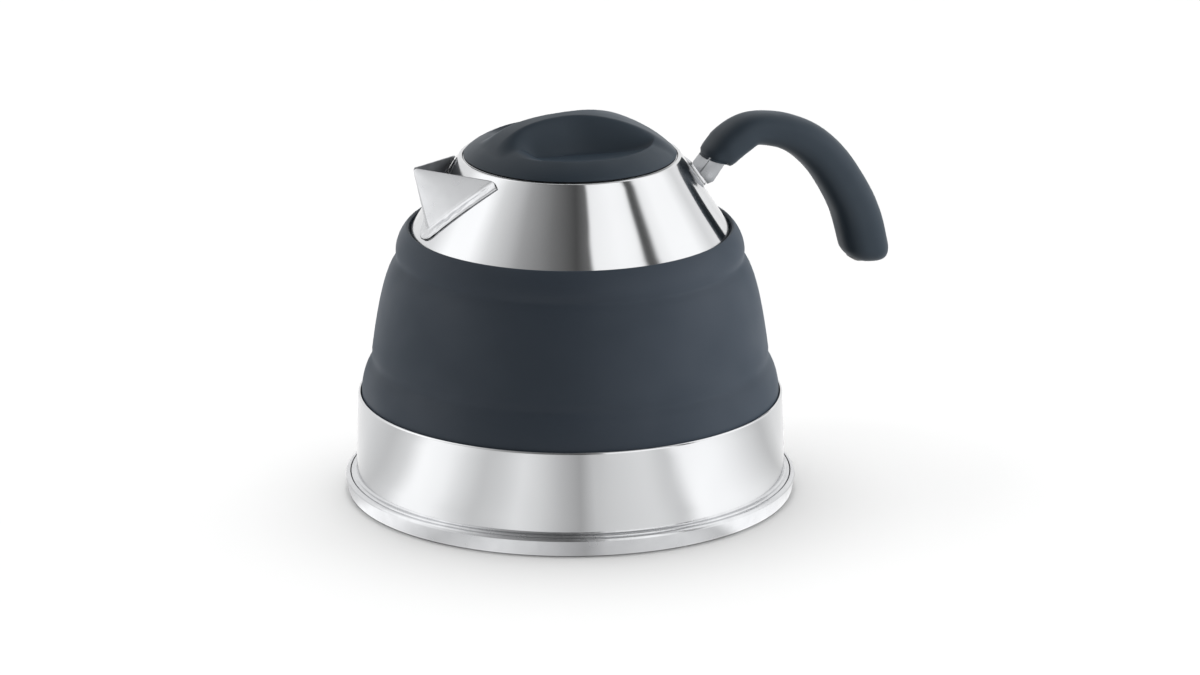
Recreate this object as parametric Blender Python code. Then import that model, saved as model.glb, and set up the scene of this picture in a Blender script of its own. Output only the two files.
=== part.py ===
"""Collapsible camping kettle: a steel pan and a steel collar joined by a folding silicone wall.

Metres, +Z up. The origin is the centre of the face that the kettle stands on, +X points to the
handle and -X to the spout. The collar, with the spout and the handle, slides down over COLLAPSE
while the silicone wall turns inside out between its two hinge grooves, and the lid lifts off.
"""

import math

import bmesh
import bpy
from mathutils import Vector

ROUND_STEPS = 44
SMALL_ROUND_STEPS = 28
FASTENER_STEPS = 12
CLEARANCE = 0.0003
CUT_OVERRUN = 0.0020

PAN_FOOT_RADIUS = 0.0953
PAN_TAPER = 0.0011
PAN_RIM_HEIGHT = 0.0457
PAN_SHEET = 0.0008
PAN_RIM_ROLL = 0.0011
PAN_FOOT_FILLET = 0.0010
PAN_BEAD_ROLL = 0.0012

BASE_LEDGE = 0.0047
BASE_HEIGHT = 0.0086
BASE_SHEET = 0.0010
BASE_TAPER = 0.0010
BASE_FOOT_FILLET = 0.0020
BASE_LIP_ROLL = 0.0017
BASE_GROOVE_RADIUS = 0.0520
BASE_GROOVE_WIDTH = 0.0040
BASE_GROOVE_DEPTH = 0.0005
HEAT_DISC_THICKNESS = 0.0047
HEAT_DISC_INSET = 0.0030
HEAT_DISC_CHAMFER = 0.0010

# The silicone's bands stand on each other from the pan's rim up; each is drawn in by its own step.
SILICONE_THICKNESS = 0.0022
LOWER_BAND_HEIGHT = 0.0159
LOWER_BAND_DRAW = 0.0060
MIDDLE_BAND_HEIGHT = 0.0461
MIDDLE_BAND_DRAW = 0.0110
TOP_BAND_HEIGHT = 0.0130
TOP_BAND_DRAW = 0.0067
HINGE_DEPTH = 0.0010
HINGE_WIDTH = 0.0020
LIP_STAND = 0.0023
LIP_ROUND = 0.0011
SILICONE_TUCK = 0.0155
LOWER_BEAD_THICKNESS = 0.0042
LOWER_BEAD_HEIGHT = 0.0040
UPPER_BEAD_HEIGHT = 0.0098
LOWER_RING_SHEET = 0.0010
LOWER_RING_HEIGHT = 0.0090

CONE_RISE = 0.0320
CONE_DRAW = 0.0211
COLLAR_SHEET = 0.0008
COLLAR_FOOT_BEND = 0.0015
COLLAR_FLANGE_HEIGHT = 0.0077
UPPER_RING_SHEET = 0.0008
UPPER_RING_HEM = 0.0039
MOUTH_SHEET = 0.0006
MOUTH_ROLL = 0.0012
MOUTH_NECK_HEIGHT = 0.0051
MOUTH_LEG_HEIGHT = 0.0017

SPOUT_SHEET = 0.0009
SPOUT_OVERHANG = 0.0244
SPOUT_TIP_RISE = 0.0023
SPOUT_FOOT_RISE = 0.0061
SPOUT_TOP_DROP = 0.0009
SPOUT_HALF_WIDTH = 0.0220
SPOUT_FOOT_FILLET = 0.0024
SPOUT_FLANGE = 0.0056
SPOUT_TIP_SHARE = 0.96
WINDOW_INSET = 0.0016

BRACKET_DROP = 0.0125
BRACKET_SHEET = 0.0010
BRACKET_HALF_WIDTH = 0.0060
BRACKET_HALF_DEPTH = 0.0040
BRACKET_FRONT_SHARE = 0.80
BRACKET_ROUND = 0.0012
BRACKET_BASE_LENGTH = 0.0112
BRACKET_LIP = 0.0030
PLATE_SHEET = 0.0012
PLATE_HALF_WIDTH = 0.0085
PLATE_LENGTH = 0.0140
PLATE_CORNER = 0.0025
TANG_THICKNESS = 0.0020
TANG_BEND_SHARE = 0.55

GRIP_MOUTH_STAND = 0.0112
GRIP_MOUTH_DROP = 0.0019
GRIP_MOUTH_TILT = 27.0
GRIP_REACH = 0.0748
GRIP_DROP = 0.0659
GRIP_THICKNESS = 0.0222
GRIP_WIDTH = 0.0220
GRIP_END_ROUND = 0.0085
GRIP_SKIN = 0.0016
GRIP_POCKET = 0.0030
GRIP_STEPS = 18
GRIP_SIDE_POWER = 0.8
GRIP_END_POWER = 0.6

LID_REST = 0.0009
LID_RISE = 0.0112
LID_RISE_POWER = 0.63
LID_WALL = 0.0024
LID_DISH_MARGIN = 0.0100
LID_DISH_DEPTH = 0.0090
LID_DISH_POWER = 0.75
CREST_HEIGHT = 0.0076
CREST_WIDTH = 0.0068
CREST_FLARE = 1.2
CREST_SHIFT = 0.0053
CREST_HANDLE_INSET = 0.0056
CREST_SPOUT_INSET = 0.0138
CREST_HANDLE_POWER = 2.5
CREST_SPOUT_POWER = 5.0
CREST_SIDE_POWER = 3.6
PLUG_GAP = 0.0016
PLUG_WALL = 0.0022
PLUG_FLOOR = 0.0016
PLUG_DEPTH = 0.0083
SEAL_HEIGHT = 0.0022
SEAL_DEPTH = 0.0010
SEAL_DROP = 0.0040
SCREW_INSET = 0.0146
SCREW_COUNT = 3
SCREW_RADIUS = 0.0012
SCREW_HEAD_RADIUS = 0.0028
SCREW_HEAD_HEIGHT = 0.0014
SCREW_FACE_SHARE = 0.7
SCREW_LENGTH = 0.0070
BOSS_WALL = 0.0020

# The middle lines of the bands, as shares of each band's own width and height.
TOP_BAND_SHARES = ((0.64, 0.24), (1.05, 0.62))
MIDDLE_BAND_SHARES = ((0.475, 0.147), (0.75, 0.51))
LOWER_BAND_SHARES = ((0.60, 0.24), (0.98, 0.62))
# Rings of the lid's top: across its edge, then in the dish, along and across, down to the crest.
LID_EDGE_SHARES = (0, 0.10, 0.52)
LID_DISH_SHARES = (
    (1.00, 1.00),
    (0.985, 0.93),
    (0.97, 0.80),
    (0.955, 0.64),
    (0.94, 0.48),
    (0.93, 0.34),
    (0.92, 0.235),
    (0.91, 0.155),
    (0.90, 0.09),
    (0.885, 0.035),
)
LID_UNDER_SHARES = (0.15, 0.4, 0.6, 0.78, 0.94)
# Along the grip: place out and up, then thickness and width, as shares of the grip's own sizes.
# The mouth is sized by the bracket that stands in it instead.
MOUTH_FIT_SHARES = (0.68, 0.64)
GRIP_STATION_SHARES = (
    (0.062, 0.072, 0.80, 0.90),
    (0.159, 0.147, 0.81, 0.90),
    (0.245, 0.183, 0.71, 0.86),
    (0.353, 0.173, 0.68, 0.85),
    (0.484, 0.129, 0.72, 0.88),
    (0.626, 0.026, 0.81, 0.92),
    (0.753, -0.128, 0.88, 0.96),
    (0.876, -0.354, 0.94, 1.00),
    (0.939, -0.527, 0.99, 1.00),
    (0.987, -0.718, 1.00, 1.00),
)

BASE_RADIUS = PAN_FOOT_RADIUS + BASE_LEDGE
HEAT_DISC_LOW = BASE_SHEET + BASE_GROOVE_DEPTH + CLEARANCE
PAN_FLOOR_HEIGHT = HEAT_DISC_LOW + HEAT_DISC_THICKNESS + CLEARANCE
PAN_BEAD_TOP = PAN_FLOOR_HEIGHT + 2 * PAN_BEAD_ROLL
PAN_RIM_RADIUS = PAN_FOOT_RADIUS - PAN_TAPER
LOWER_HINGE_RADIUS = PAN_RIM_RADIUS - LOWER_BAND_DRAW
LOWER_HINGE_HEIGHT = PAN_RIM_HEIGHT + LOWER_BAND_HEIGHT
UPPER_HINGE_RADIUS = LOWER_HINGE_RADIUS - MIDDLE_BAND_DRAW
UPPER_HINGE_HEIGHT = LOWER_HINGE_HEIGHT + MIDDLE_BAND_HEIGHT
COLLAR_FOOT_RADIUS = UPPER_HINGE_RADIUS - TOP_BAND_DRAW
COLLAR_FOOT_HEIGHT = UPPER_HINGE_HEIGHT + TOP_BAND_HEIGHT
COLLAR_TOP_RADIUS = COLLAR_FOOT_RADIUS - CONE_DRAW
COLLAR_TOP_HEIGHT = COLLAR_FOOT_HEIGHT + CONE_RISE
FLANGE_RADIUS = COLLAR_FOOT_RADIUS + CLEARANCE
CONE_SLOPE = CONE_DRAW / CONE_RISE
CONE_ANGLE = math.atan(CONE_SLOPE)
CONE_OUT = Vector((math.cos(CONE_ANGLE), 0, math.sin(CONE_ANGLE)))
CONE_UP = Vector((-math.sin(CONE_ANGLE), 0, math.cos(CONE_ANGLE)))
SPOUT_FOOT_HEIGHT = COLLAR_FOOT_HEIGHT + SPOUT_FOOT_RISE
SPOUT_TOP_HEIGHT = COLLAR_TOP_HEIGHT - SPOUT_TOP_DROP
BRACKET_HEIGHT = COLLAR_TOP_HEIGHT - BRACKET_DROP
MOUTH_TOP = COLLAR_TOP_HEIGHT + MOUTH_ROLL
NECK_RADIUS = COLLAR_TOP_RADIUS - COLLAR_SHEET - 2 * MOUTH_ROLL
LID_RADIUS = NECK_RADIUS + LID_REST
LID_DISH_RADIUS = LID_RADIUS - LID_DISH_MARGIN
LID_EDGE_HEIGHT = MOUTH_TOP + CLEARANCE
PLUG_RADIUS = NECK_RADIUS - PLUG_GAP
PLUG_LOW = MOUTH_TOP - PLUG_DEPTH


def cone_radius(height):
    """Outer radius of the collar's cone at a height."""
    return COLLAR_FOOT_RADIUS - (height - COLLAR_FOOT_HEIGHT) * CONE_SLOPE


def arc(centre, radius, start, end, steps):
    """Points on a circle in the radius and height plane, between two angles in degrees."""
    points = []
    for step in range(steps + 1):
        angle = math.radians(start + (end - start) * step / steps)
        points.append((centre[0] + radius * math.cos(angle), centre[1] + radius * math.sin(angle)))
    return points


def curve(start, end, shares, steps):
    """Bezier points from start to end; the handles are shares of the box between them."""
    size = (end[0] - start[0], end[1] - start[1])
    handles = [(start[0] + size[0] * a, start[1] + size[1] * b) for a, b in shares]
    corners = [start, *handles, end]
    points = []
    for step in range(steps + 1):
        t = step / steps
        weights = ((1 - t) ** 3, 3 * t * (1 - t) ** 2, 3 * t**2 * (1 - t), t**3)
        points.append(tuple(sum(w * c[axis] for w, c in zip(weights, corners)) for axis in (0, 1)))
    return points


def offset_line(points, distance):
    """The same open line moved to its left by a distance, with mitred corners."""
    moved = []
    last = len(points) - 1
    for index, point in enumerate(points):
        before = Vector(point) - Vector(points[index - 1]) if index else None
        after = Vector(points[index + 1]) - Vector(point) if index < last else None
        sides = [Vector((-way.y, way.x)).normalized() for way in (before, after) if way]
        side = sum(sides, Vector((0, 0))).normalized()
        reach = distance / max(side.dot(sides[0]), 0.5)
        moved.append((point[0] + side.x * reach, point[1] + side.y * reach))
    return moved


def sheet_section(line, thickness):
    """Closed section of a sheet whose outer side is the line, drawn with the metal on its left."""
    return line + offset_line(line, thickness)[::-1]


def material(name, colour, roughness, metallic):
    """A plain Principled material."""
    found = bpy.data.materials.get(name) or bpy.data.materials.new(name)
    found.use_nodes = True
    shader = found.node_tree.nodes["Principled BSDF"]
    shader.inputs["Base Color"].default_value = (*colour, 1)
    shader.inputs["Roughness"].default_value = roughness
    shader.inputs["Metallic"].default_value = metallic
    found.diffuse_color = (*colour, 1)
    return found


def finish_mesh(name, bm, look, parent):
    """Turn a bmesh into a named, smooth-shaded object."""
    bmesh.ops.recalc_face_normals(bm, faces=bm.faces)
    mesh = bpy.data.meshes.new(name)
    bm.to_mesh(mesh)
    bm.free()
    mesh.shade_smooth()
    mesh.set_sharp_from_angle(angle=math.radians(35))
    if look:
        mesh.materials.append(look)
    obj = bpy.data.objects.new(name, mesh)
    obj.parent = parent
    bpy.context.scene.collection.objects.link(obj)
    return obj


def lathe(name, section, look, parent, steps=ROUND_STEPS):
    """Turn a section of (radius, height) points round Z; a section that meets the axis is left open."""
    bm = bmesh.new()
    verts = [bm.verts.new((radius, 0, height)) for radius, height in section]
    on_axis = section[0][0] == 0 and section[-1][0] == 0
    edges = [bm.edges.new(pair) for pair in zip(verts, verts[1:])]
    if not on_axis:
        edges.append(bm.edges.new((verts[-1], verts[0])))
    bmesh.ops.spin(
        bm,
        geom=verts + edges,
        cent=(0, 0, 0),
        axis=(0, 0, 1),
        angle=math.tau,
        steps=steps,
        use_merge=True,
    )
    bmesh.ops.remove_doubles(bm, verts=bm.verts, dist=1e-7)
    return finish_mesh(name, bm, look, parent)


def cap_strip(bm, ring):
    """Close a long ring whose two sides mirror each other, with a strip of faces between them."""
    count = len(ring)
    half = count // 2
    bm.faces.new((ring[count - 1], ring[0], ring[1]))
    for index in range(1, half - 1):
        across = count - index
        bm.faces.new((ring[index], ring[index + 1], ring[across - 1], ring[across]))
    bm.faces.new((ring[half - 1], ring[half], ring[half + 1]))


def loft(name, rings, look, parent, strip_cap=False):
    """Skin a row of closed rings of equal count and cap both ends."""
    bm = bmesh.new()
    rows = [[bm.verts.new(point) for point in ring] for ring in rings]
    for low, high in zip(rows, rows[1:]):
        for index in range(len(low)):
            follow = (index + 1) % len(low)
            bm.faces.new((low[index], low[follow], high[follow], high[index]))
    bm.faces.new(rows[0][::-1])
    if strip_cap:
        cap_strip(bm, rows[-1])
    else:
        bm.faces.new(rows[-1])
    return finish_mesh(name, bm, look, parent)


def cut(obj, cutter, operation="DIFFERENCE"):
    """Add a Boolean and hide its helper."""
    cutter.hide_render = True
    cutter.display_type = "WIRE"
    modifier = obj.modifiers.new(cutter.name, "BOOLEAN")
    modifier.operation = operation
    modifier.solver = "EXACT"
    modifier.object = cutter


def rods(name, places, parent, steps=FASTENER_STEPS):
    """Upright rods in one helper mesh, each as (x, y, low, high, radius)."""
    bm = bmesh.new()
    for x, y, low, high, radius in places:
        rings = []
        for height in (low, high):
            angles = [math.tau * step / steps for step in range(steps)]
            ring = [(x + radius * math.cos(a), y + radius * math.sin(a), height) for a in angles]
            rings.append([bm.verts.new(point) for point in ring])
        for index in range(steps):
            follow = (index + 1) % steps
            bm.faces.new((rings[0][index], rings[0][follow], rings[1][follow], rings[1][index]))
        bm.faces.new(rings[0][::-1])
        bm.faces.new(rings[1])
    return finish_mesh(name, bm, None, parent)


def on_cone(across, height, out, towards=1):
    """A point on the cone: distance across from its +X or -X line, height, and distance off it."""
    radius = cone_radius(height)
    angle = across / radius
    outward = Vector((math.cos(angle) * towards, math.sin(angle), 0))
    normal = outward * math.cos(CONE_ANGLE) + Vector((0, 0, math.sin(CONE_ANGLE)))
    return outward * radius + Vector((0, 0, height)) + normal * out


def cone_block(name, stations, low, high, towards, look, parent, columns=8):
    """A patch of the cone between two distances off it; each station is (height, half width)."""
    rings = []
    for height, half in stations:
        across = [half * (2 * column / columns - 1) for column in range(columns + 1)]
        under = [on_cone(a, height, low, towards) for a in across]
        over = [on_cone(a, height, high, towards) for a in reversed(across)]
        rings.append(under + over)
    return loft(name, rings, look, parent)


def make_base_cap(look, parent):
    """Steel cap under the base: foot, drawn-in side, lip rolled over the pan's bead."""
    groove_in = BASE_GROOVE_RADIUS - BASE_GROOVE_WIDTH / 2
    groove_out = BASE_GROOVE_RADIUS + BASE_GROOVE_WIDTH / 2
    foot_radius = BASE_RADIUS - BASE_TAPER
    foot_centre = (foot_radius - BASE_FOOT_FILLET, BASE_FOOT_FILLET)
    lip_centre = (BASE_RADIUS - BASE_LIP_ROLL, BASE_HEIGHT - BASE_LIP_ROLL)
    line = [
        (0, 0),
        (groove_in, 0),
        (groove_in + BASE_GROOVE_DEPTH, BASE_GROOVE_DEPTH),
        (groove_out - BASE_GROOVE_DEPTH, BASE_GROOVE_DEPTH),
        (groove_out, 0),
        *arc(foot_centre, BASE_FOOT_FILLET, 270, 360, 2),
        *arc(lip_centre, BASE_LIP_ROLL, 0, 90, 2),
    ]
    return lathe("base_cap", sheet_section(line, BASE_SHEET), look, parent)


def make_heat_disc(look, parent):
    """Aluminium disc between the cap and the pan's floor."""
    low = HEAT_DISC_LOW
    high = low + HEAT_DISC_THICKNESS
    radius = BASE_RADIUS - BASE_TAPER - BASE_SHEET - HEAT_DISC_INSET
    section = [
        (0, low),
        (radius - HEAT_DISC_CHAMFER, low),
        (radius, low + HEAT_DISC_CHAMFER),
        (radius, high),
        (0, high),
    ]
    return lathe("heat_disc", section, look, parent, SMALL_ROUND_STEPS)


def make_base_pan(look, parent):
    """Drawn steel pan: floor, rolled bead on the base, tapered wall, rim rolled in on the silicone."""
    bead_centre = (PAN_FOOT_RADIUS + PAN_FOOT_FILLET + CLEARANCE, PAN_FLOOR_HEIGHT + PAN_BEAD_ROLL)
    fillet_centre = (PAN_FOOT_RADIUS + PAN_FOOT_FILLET, PAN_BEAD_TOP + PAN_FOOT_FILLET)
    rim_centre = (PAN_RIM_RADIUS - PAN_RIM_ROLL, PAN_RIM_HEIGHT - PAN_RIM_ROLL)
    line = [
        (0, PAN_FLOOR_HEIGHT),
        *arc(bead_centre, PAN_BEAD_ROLL, 270, 450, 3),
        *arc(fillet_centre, PAN_FOOT_FILLET, 270, 180, 2),
        *arc(rim_centre, PAN_RIM_ROLL, 0, 90, 2),
    ]
    return lathe("base_pan", sheet_section(line, PAN_SHEET), look, parent)


def silicone_outline():
    """Outer line of the wall, from the top of its lip down to its tucked foot."""
    lip_middle = COLLAR_FOOT_HEIGHT + LIP_STAND - LIP_ROUND
    lip_centre = (FLANGE_RADIUS + CLEARANCE + LIP_ROUND, lip_middle)
    upper_start = (UPPER_HINGE_RADIUS, UPPER_HINGE_HEIGHT + HINGE_WIDTH / 2)
    upper_end = (UPPER_HINGE_RADIUS, UPPER_HINGE_HEIGHT - HINGE_WIDTH / 2)
    lower_start = (LOWER_HINGE_RADIUS, LOWER_HINGE_HEIGHT + HINGE_WIDTH / 2)
    lower_end = (LOWER_HINGE_RADIUS, LOWER_HINGE_HEIGHT - HINGE_WIDTH / 2)
    tuck_radius = PAN_RIM_RADIUS - PAN_SHEET - CLEARANCE
    rim_radius = PAN_RIM_RADIUS - PAN_RIM_ROLL - PAN_SHEET / 2 - CLEARANCE
    lip = arc(lip_centre, LIP_ROUND, 180, 75, 3)
    return [
        *lip,
        *curve(lip[-1], upper_start, TOP_BAND_SHARES, 4)[1:],
        (UPPER_HINGE_RADIUS - HINGE_DEPTH, UPPER_HINGE_HEIGHT),
        *curve(upper_end, lower_start, MIDDLE_BAND_SHARES, 6),
        (LOWER_HINGE_RADIUS - HINGE_DEPTH, LOWER_HINGE_HEIGHT),
        *curve(lower_end, (rim_radius, PAN_RIM_HEIGHT + CLEARANCE), LOWER_BAND_SHARES, 3),
        (rim_radius, PAN_RIM_HEIGHT - PAN_RIM_ROLL - PAN_SHEET),
        (tuck_radius, PAN_RIM_HEIGHT - 2 * PAN_RIM_ROLL - PAN_SHEET),
        (tuck_radius, PAN_RIM_HEIGHT - SILICONE_TUCK),
    ]


def make_silicone_wall(look, parent):
    """One silicone moulding: three bands, two hinge grooves, a bead and lip for the collar, a foot bead."""
    outer = silicone_outline()
    foot = outer[-1]
    bead_top = foot[1] + LOWER_BEAD_HEIGHT
    bead_low = COLLAR_FOOT_HEIGHT - UPPER_BEAD_HEIGHT
    inner = offset_line(outer, -SILICONE_THICKNESS)
    wall = [point for point in inner if bead_top < point[1] < bead_low - CLEARANCE]
    collar_side = FLANGE_RADIUS + CLEARANCE
    section = [
        *outer,
        (foot[0] - LOWER_BEAD_THICKNESS, foot[1]),
        (foot[0] - LOWER_BEAD_THICKNESS, bead_top),
        (foot[0] - SILICONE_THICKNESS, bead_top),
        *reversed(wall),
        (wall[0][0], bead_low),
        (collar_side, bead_low),
    ]
    return lathe("silicone_wall", section, look, parent)


def make_lower_ring(look, parent):
    """Steel band that presses the silicone against the pan from inside, with a turned-in top edge."""
    outer = PAN_RIM_RADIUS - PAN_SHEET - SILICONE_THICKNESS - 2 * CLEARANCE
    low = PAN_RIM_HEIGHT - SILICONE_TUCK + LOWER_BEAD_HEIGHT + CLEARANCE
    bend = 2 * LOWER_RING_SHEET
    line = [
        (outer, low),
        *arc((outer - bend, low + LOWER_RING_HEIGHT - bend), bend, 0, 90, 1),
    ]
    return lathe("lower_retaining_ring", sheet_section(line, LOWER_RING_SHEET), look, parent)


def make_upper_ring(look, parent):
    """Steel ring inside the collar's foot whose hem holds the silicone's upper bead."""
    outer = FLANGE_RADIUS - COLLAR_SHEET - CLEARANCE
    hem_top = COLLAR_FOOT_HEIGHT - UPPER_BEAD_HEIGHT - CLEARANCE
    line = [
        (outer + UPPER_RING_HEM, hem_top),
        *arc((outer + UPPER_RING_SHEET, hem_top + UPPER_RING_SHEET), UPPER_RING_SHEET, 270, 180, 1),
        (outer, COLLAR_FOOT_HEIGHT - 2 * COLLAR_SHEET),
    ]
    return lathe("upper_retaining_ring", sheet_section(line, UPPER_RING_SHEET), look, parent)


def make_collar_cone(look, parent):
    """Steel cone with a turned-down foot, and a window behind the spout."""
    bend_centre = (FLANGE_RADIUS - COLLAR_FOOT_BEND, COLLAR_FOOT_HEIGHT - COLLAR_FOOT_BEND)
    line = [
        (FLANGE_RADIUS, COLLAR_FOOT_HEIGHT - COLLAR_FLANGE_HEIGHT),
        *arc(bend_centre, COLLAR_FOOT_BEND, 0, math.degrees(CONE_ANGLE), 2),
        (COLLAR_TOP_RADIUS, COLLAR_TOP_HEIGHT),
    ]
    cone = lathe("collar_cone", sheet_section(line, COLLAR_SHEET), look, parent)
    stations = []
    for height, half in spout_stations(-WINDOW_INSET, 9):
        stations.append((min(height, SPOUT_TOP_HEIGHT - WINDOW_INSET), half))
    depth = -COLLAR_SHEET - CUT_OVERRUN
    cut(cone, cone_block("spout_window_cutter", stations, depth, CUT_OVERRUN, -1, None, parent))
    return cone


def make_mouth_ring(look, parent):
    """Rolled steel ring that lines the mouth: neck inside, roll on top, short leg under the cone."""
    leg = COLLAR_TOP_RADIUS - COLLAR_SHEET
    line = [
        (leg, COLLAR_TOP_HEIGHT - MOUTH_LEG_HEIGHT),
        *arc((leg - MOUTH_ROLL, COLLAR_TOP_HEIGHT), MOUTH_ROLL, 0, 180, 4),
        (NECK_RADIUS, COLLAR_TOP_HEIGHT - MOUTH_NECK_HEIGHT),
    ]
    return lathe("mouth_ring", sheet_section(line, MOUTH_SHEET), look, parent)


def spout_line(offset, steps):
    """One side of the spout's V on the cone, from its foot up, moved out by a distance.

    Each point is (across, up the cone from the spout's foot), with the foot rounded.
    """
    rise = (SPOUT_TOP_HEIGHT - SPOUT_FOOT_HEIGHT) / math.cos(CONE_ANGLE)
    lean = math.atan2(SPOUT_HALF_WIDTH, rise)
    radius = SPOUT_FOOT_FILLET + offset
    centre = SPOUT_FOOT_FILLET
    points = []
    for step in range(steps + 1):
        angle = (math.pi / 2 - lean) * step / steps
        points.append((radius * math.sin(angle), centre - radius * math.cos(angle)))
    start = points[-1]
    run = (rise - start[1]) / math.cos(lean)
    for step in range(1, steps + 1):
        along = run * step / steps
        points.append((start[0] + along * math.sin(lean), start[1] + along * math.cos(lean)))
    return points


def spout_height(up):
    """Height of a point that lies a distance up the cone from the spout's foot."""
    return SPOUT_FOOT_HEIGHT + up * math.cos(CONE_ANGLE)


def spout_stations(offset, steps):
    """The V as rows of (height, half width), for a cut through the cone."""
    return [(spout_height(up), across) for across, up in spout_line(offset, steps)[1:]]


def make_spout(look, parent):
    """Folded steel V with a flange welded to the cone; both sides run to the pouring tip."""
    reach = COLLAR_TOP_RADIUS + SPOUT_OVERHANG
    tip = Vector((-reach, 0, COLLAR_TOP_HEIGHT + SPOUT_TIP_RISE))
    steps = 6
    inner_line = spout_line(0, steps)
    outer_line = spout_line(SPOUT_SHEET, steps)
    edge_line = spout_line(SPOUT_FLANGE, steps)
    near = CLEARANCE
    far = CLEARANCE + SPOUT_SHEET
    halves = []
    for side in (1, -1):
        rings = []
        for inner, outer, edge in zip(inner_line, outer_line, edge_line):
            low_in = on_cone(side * inner[0], spout_height(inner[1]), near, -1)
            low_edge = on_cone(side * edge[0], spout_height(edge[1]), near, -1)
            high_edge = on_cone(side * edge[0], spout_height(edge[1]), far, -1)
            high_in = on_cone(side * outer[0], spout_height(outer[1]), far, -1)
            top_out = high_in.lerp(tip + Vector((-SPOUT_SHEET, 0, 0)), SPOUT_TIP_SHARE)
            top_in = low_in.lerp(tip, SPOUT_TIP_SHARE)
            rings.append([low_in, low_edge, high_edge, high_in, top_out, top_in])
        halves.append(rings)
    rings = halves[1][:0:-1] + halves[0]
    return loft("spout", rings, look, parent)


def bracket_frame(up, out):
    """A point in the handle's plane, from distances up and off the cone at the bracket's middle."""
    middle = Vector((cone_radius(BRACKET_HEIGHT), 0, BRACKET_HEIGHT))
    return middle + CONE_UP * up + CONE_OUT * out


def make_mount_plate(look, parent):
    """Steel plate welded to the cone under the bracket, with round corners."""
    rise = PLATE_LENGTH / 2 * math.cos(CONE_ANGLE)
    corner = PLATE_CORNER
    stations = []
    for angle in (0, 30, 60, 90):
        turn = math.radians(angle)
        height = BRACKET_HEIGHT - rise + corner - corner * math.cos(turn)
        stations.append((height, PLATE_HALF_WIDTH - corner + corner * math.sin(turn)))
    stations += [(2 * BRACKET_HEIGHT - height, half) for height, half in reversed(stations)]
    low = CLEARANCE
    high = CLEARANCE + PLATE_SHEET
    return cone_block("handle_mount_plate", stations, low, high, 1, look, parent, 6)


def prism(name, outline, half_width, look, parent):
    """A flat outline in the handle's plane, given a width across it."""
    rings = [[(point.x, side, point.z) for point in outline] for side in (-half_width, half_width)]
    return loft(name, rings, look, parent)


def grip_mouth_axes():
    """Middle of the grip's mouth, the way the grip leaves it, and the way back across the plane."""
    tilt = math.radians(GRIP_MOUTH_TILT)
    mouth = bracket_frame(-GRIP_MOUTH_DROP, GRIP_MOUTH_STAND)
    along = Vector((math.sin(tilt), 0, math.cos(tilt)))
    back = Vector((-math.cos(tilt), 0, math.sin(tilt)))
    return mouth, along, back


def make_bracket(look, parent):
    """U-folded steel gusset from the mount plate up into the grip, with a turned-out lip in front."""
    mouth, along, back = grip_mouth_axes()
    seat = PLATE_SHEET + 2 * CLEARANCE
    depth = GRIP_POCKET / 3
    top = mouth + along * depth
    upper_back = top + back * BRACKET_HALF_DEPTH
    upper_front = top - back * BRACKET_HALF_DEPTH * BRACKET_FRONT_SHARE
    base_back = bracket_frame(BRACKET_BASE_LENGTH / 2, seat)
    base_front = bracket_frame(-BRACKET_BASE_LENGTH / 2, seat)
    toe = bracket_frame(-BRACKET_BASE_LENGTH / 2 - BRACKET_SHEET, seat + 2 * BRACKET_SHEET)
    outline = [base_back, base_front, toe, upper_front, upper_back]
    bracket = prism("handle_bracket", outline, BRACKET_HALF_WIDTH, look, parent)
    bevel = bracket.modifiers.new("folds", "BEVEL")
    bevel.width = BRACKET_ROUND
    bevel.segments = 2
    bevel.limit_method = "ANGLE"
    web = (upper_front - toe).normalized()
    inward = Vector((-web.z, 0, web.x))
    hollow = [
        base_back - CONE_OUT * CUT_OVERRUN + CONE_UP * CUT_OVERRUN,
        base_front - CONE_OUT * CUT_OVERRUN,
        toe + inward * BRACKET_SHEET + CONE_UP * BRACKET_SHEET / 2,
        upper_front + inward * BRACKET_SHEET + along * CUT_OVERRUN,
        upper_back + back * CUT_OVERRUN + along * CUT_OVERRUN,
    ]
    inner_half = BRACKET_HALF_WIDTH - BRACKET_SHEET
    cut(bracket, prism("bracket_hollow_cutter", hollow, inner_half, None, parent))
    lip_root = upper_front - web * (depth + BRACKET_SHEET + 2 * CLEARANCE) / web.dot(along)
    lip = [
        lip_root + back * BRACKET_SHEET / 2,
        lip_root - back * BRACKET_LIP,
        lip_root - back * BRACKET_LIP + along * BRACKET_SHEET,
        lip_root + back * BRACKET_SHEET / 2 + along * BRACKET_SHEET,
    ]
    cut(bracket, prism("bracket_lip_helper", lip, BRACKET_HALF_WIDTH / 2, None, parent), "UNION")
    return bracket


def grip_stations():
    """Smooth rows of (middle, way along, half thickness, half width) from the mouth to the end."""
    mouth, along, _ = grip_mouth_axes()
    mouth_thick = BRACKET_HALF_DEPTH / MOUTH_FIT_SHARES[0] + CLEARANCE + GRIP_SKIN
    mouth_wide = BRACKET_HALF_WIDTH / MOUTH_FIT_SHARES[1] + CLEARANCE + GRIP_SKIN
    knots = [(mouth, mouth_thick, mouth_wide)]
    for out, up, thick, wide in GRIP_STATION_SHARES:
        place = mouth + Vector((out * GRIP_REACH, 0, up * GRIP_DROP))
        knots.append((place, thick * GRIP_THICKNESS / 2, wide * GRIP_WIDTH / 2))
    places = [knot[0] for knot in knots]
    ways = [along]
    for before, after in zip(places, places[2:]):
        ways.append((after - before).normalized())
    ways.append((places[-1] - places[-2]).normalized())
    return [(place, way, thick, wide) for (place, thick, wide), way in zip(knots, ways)]


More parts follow.
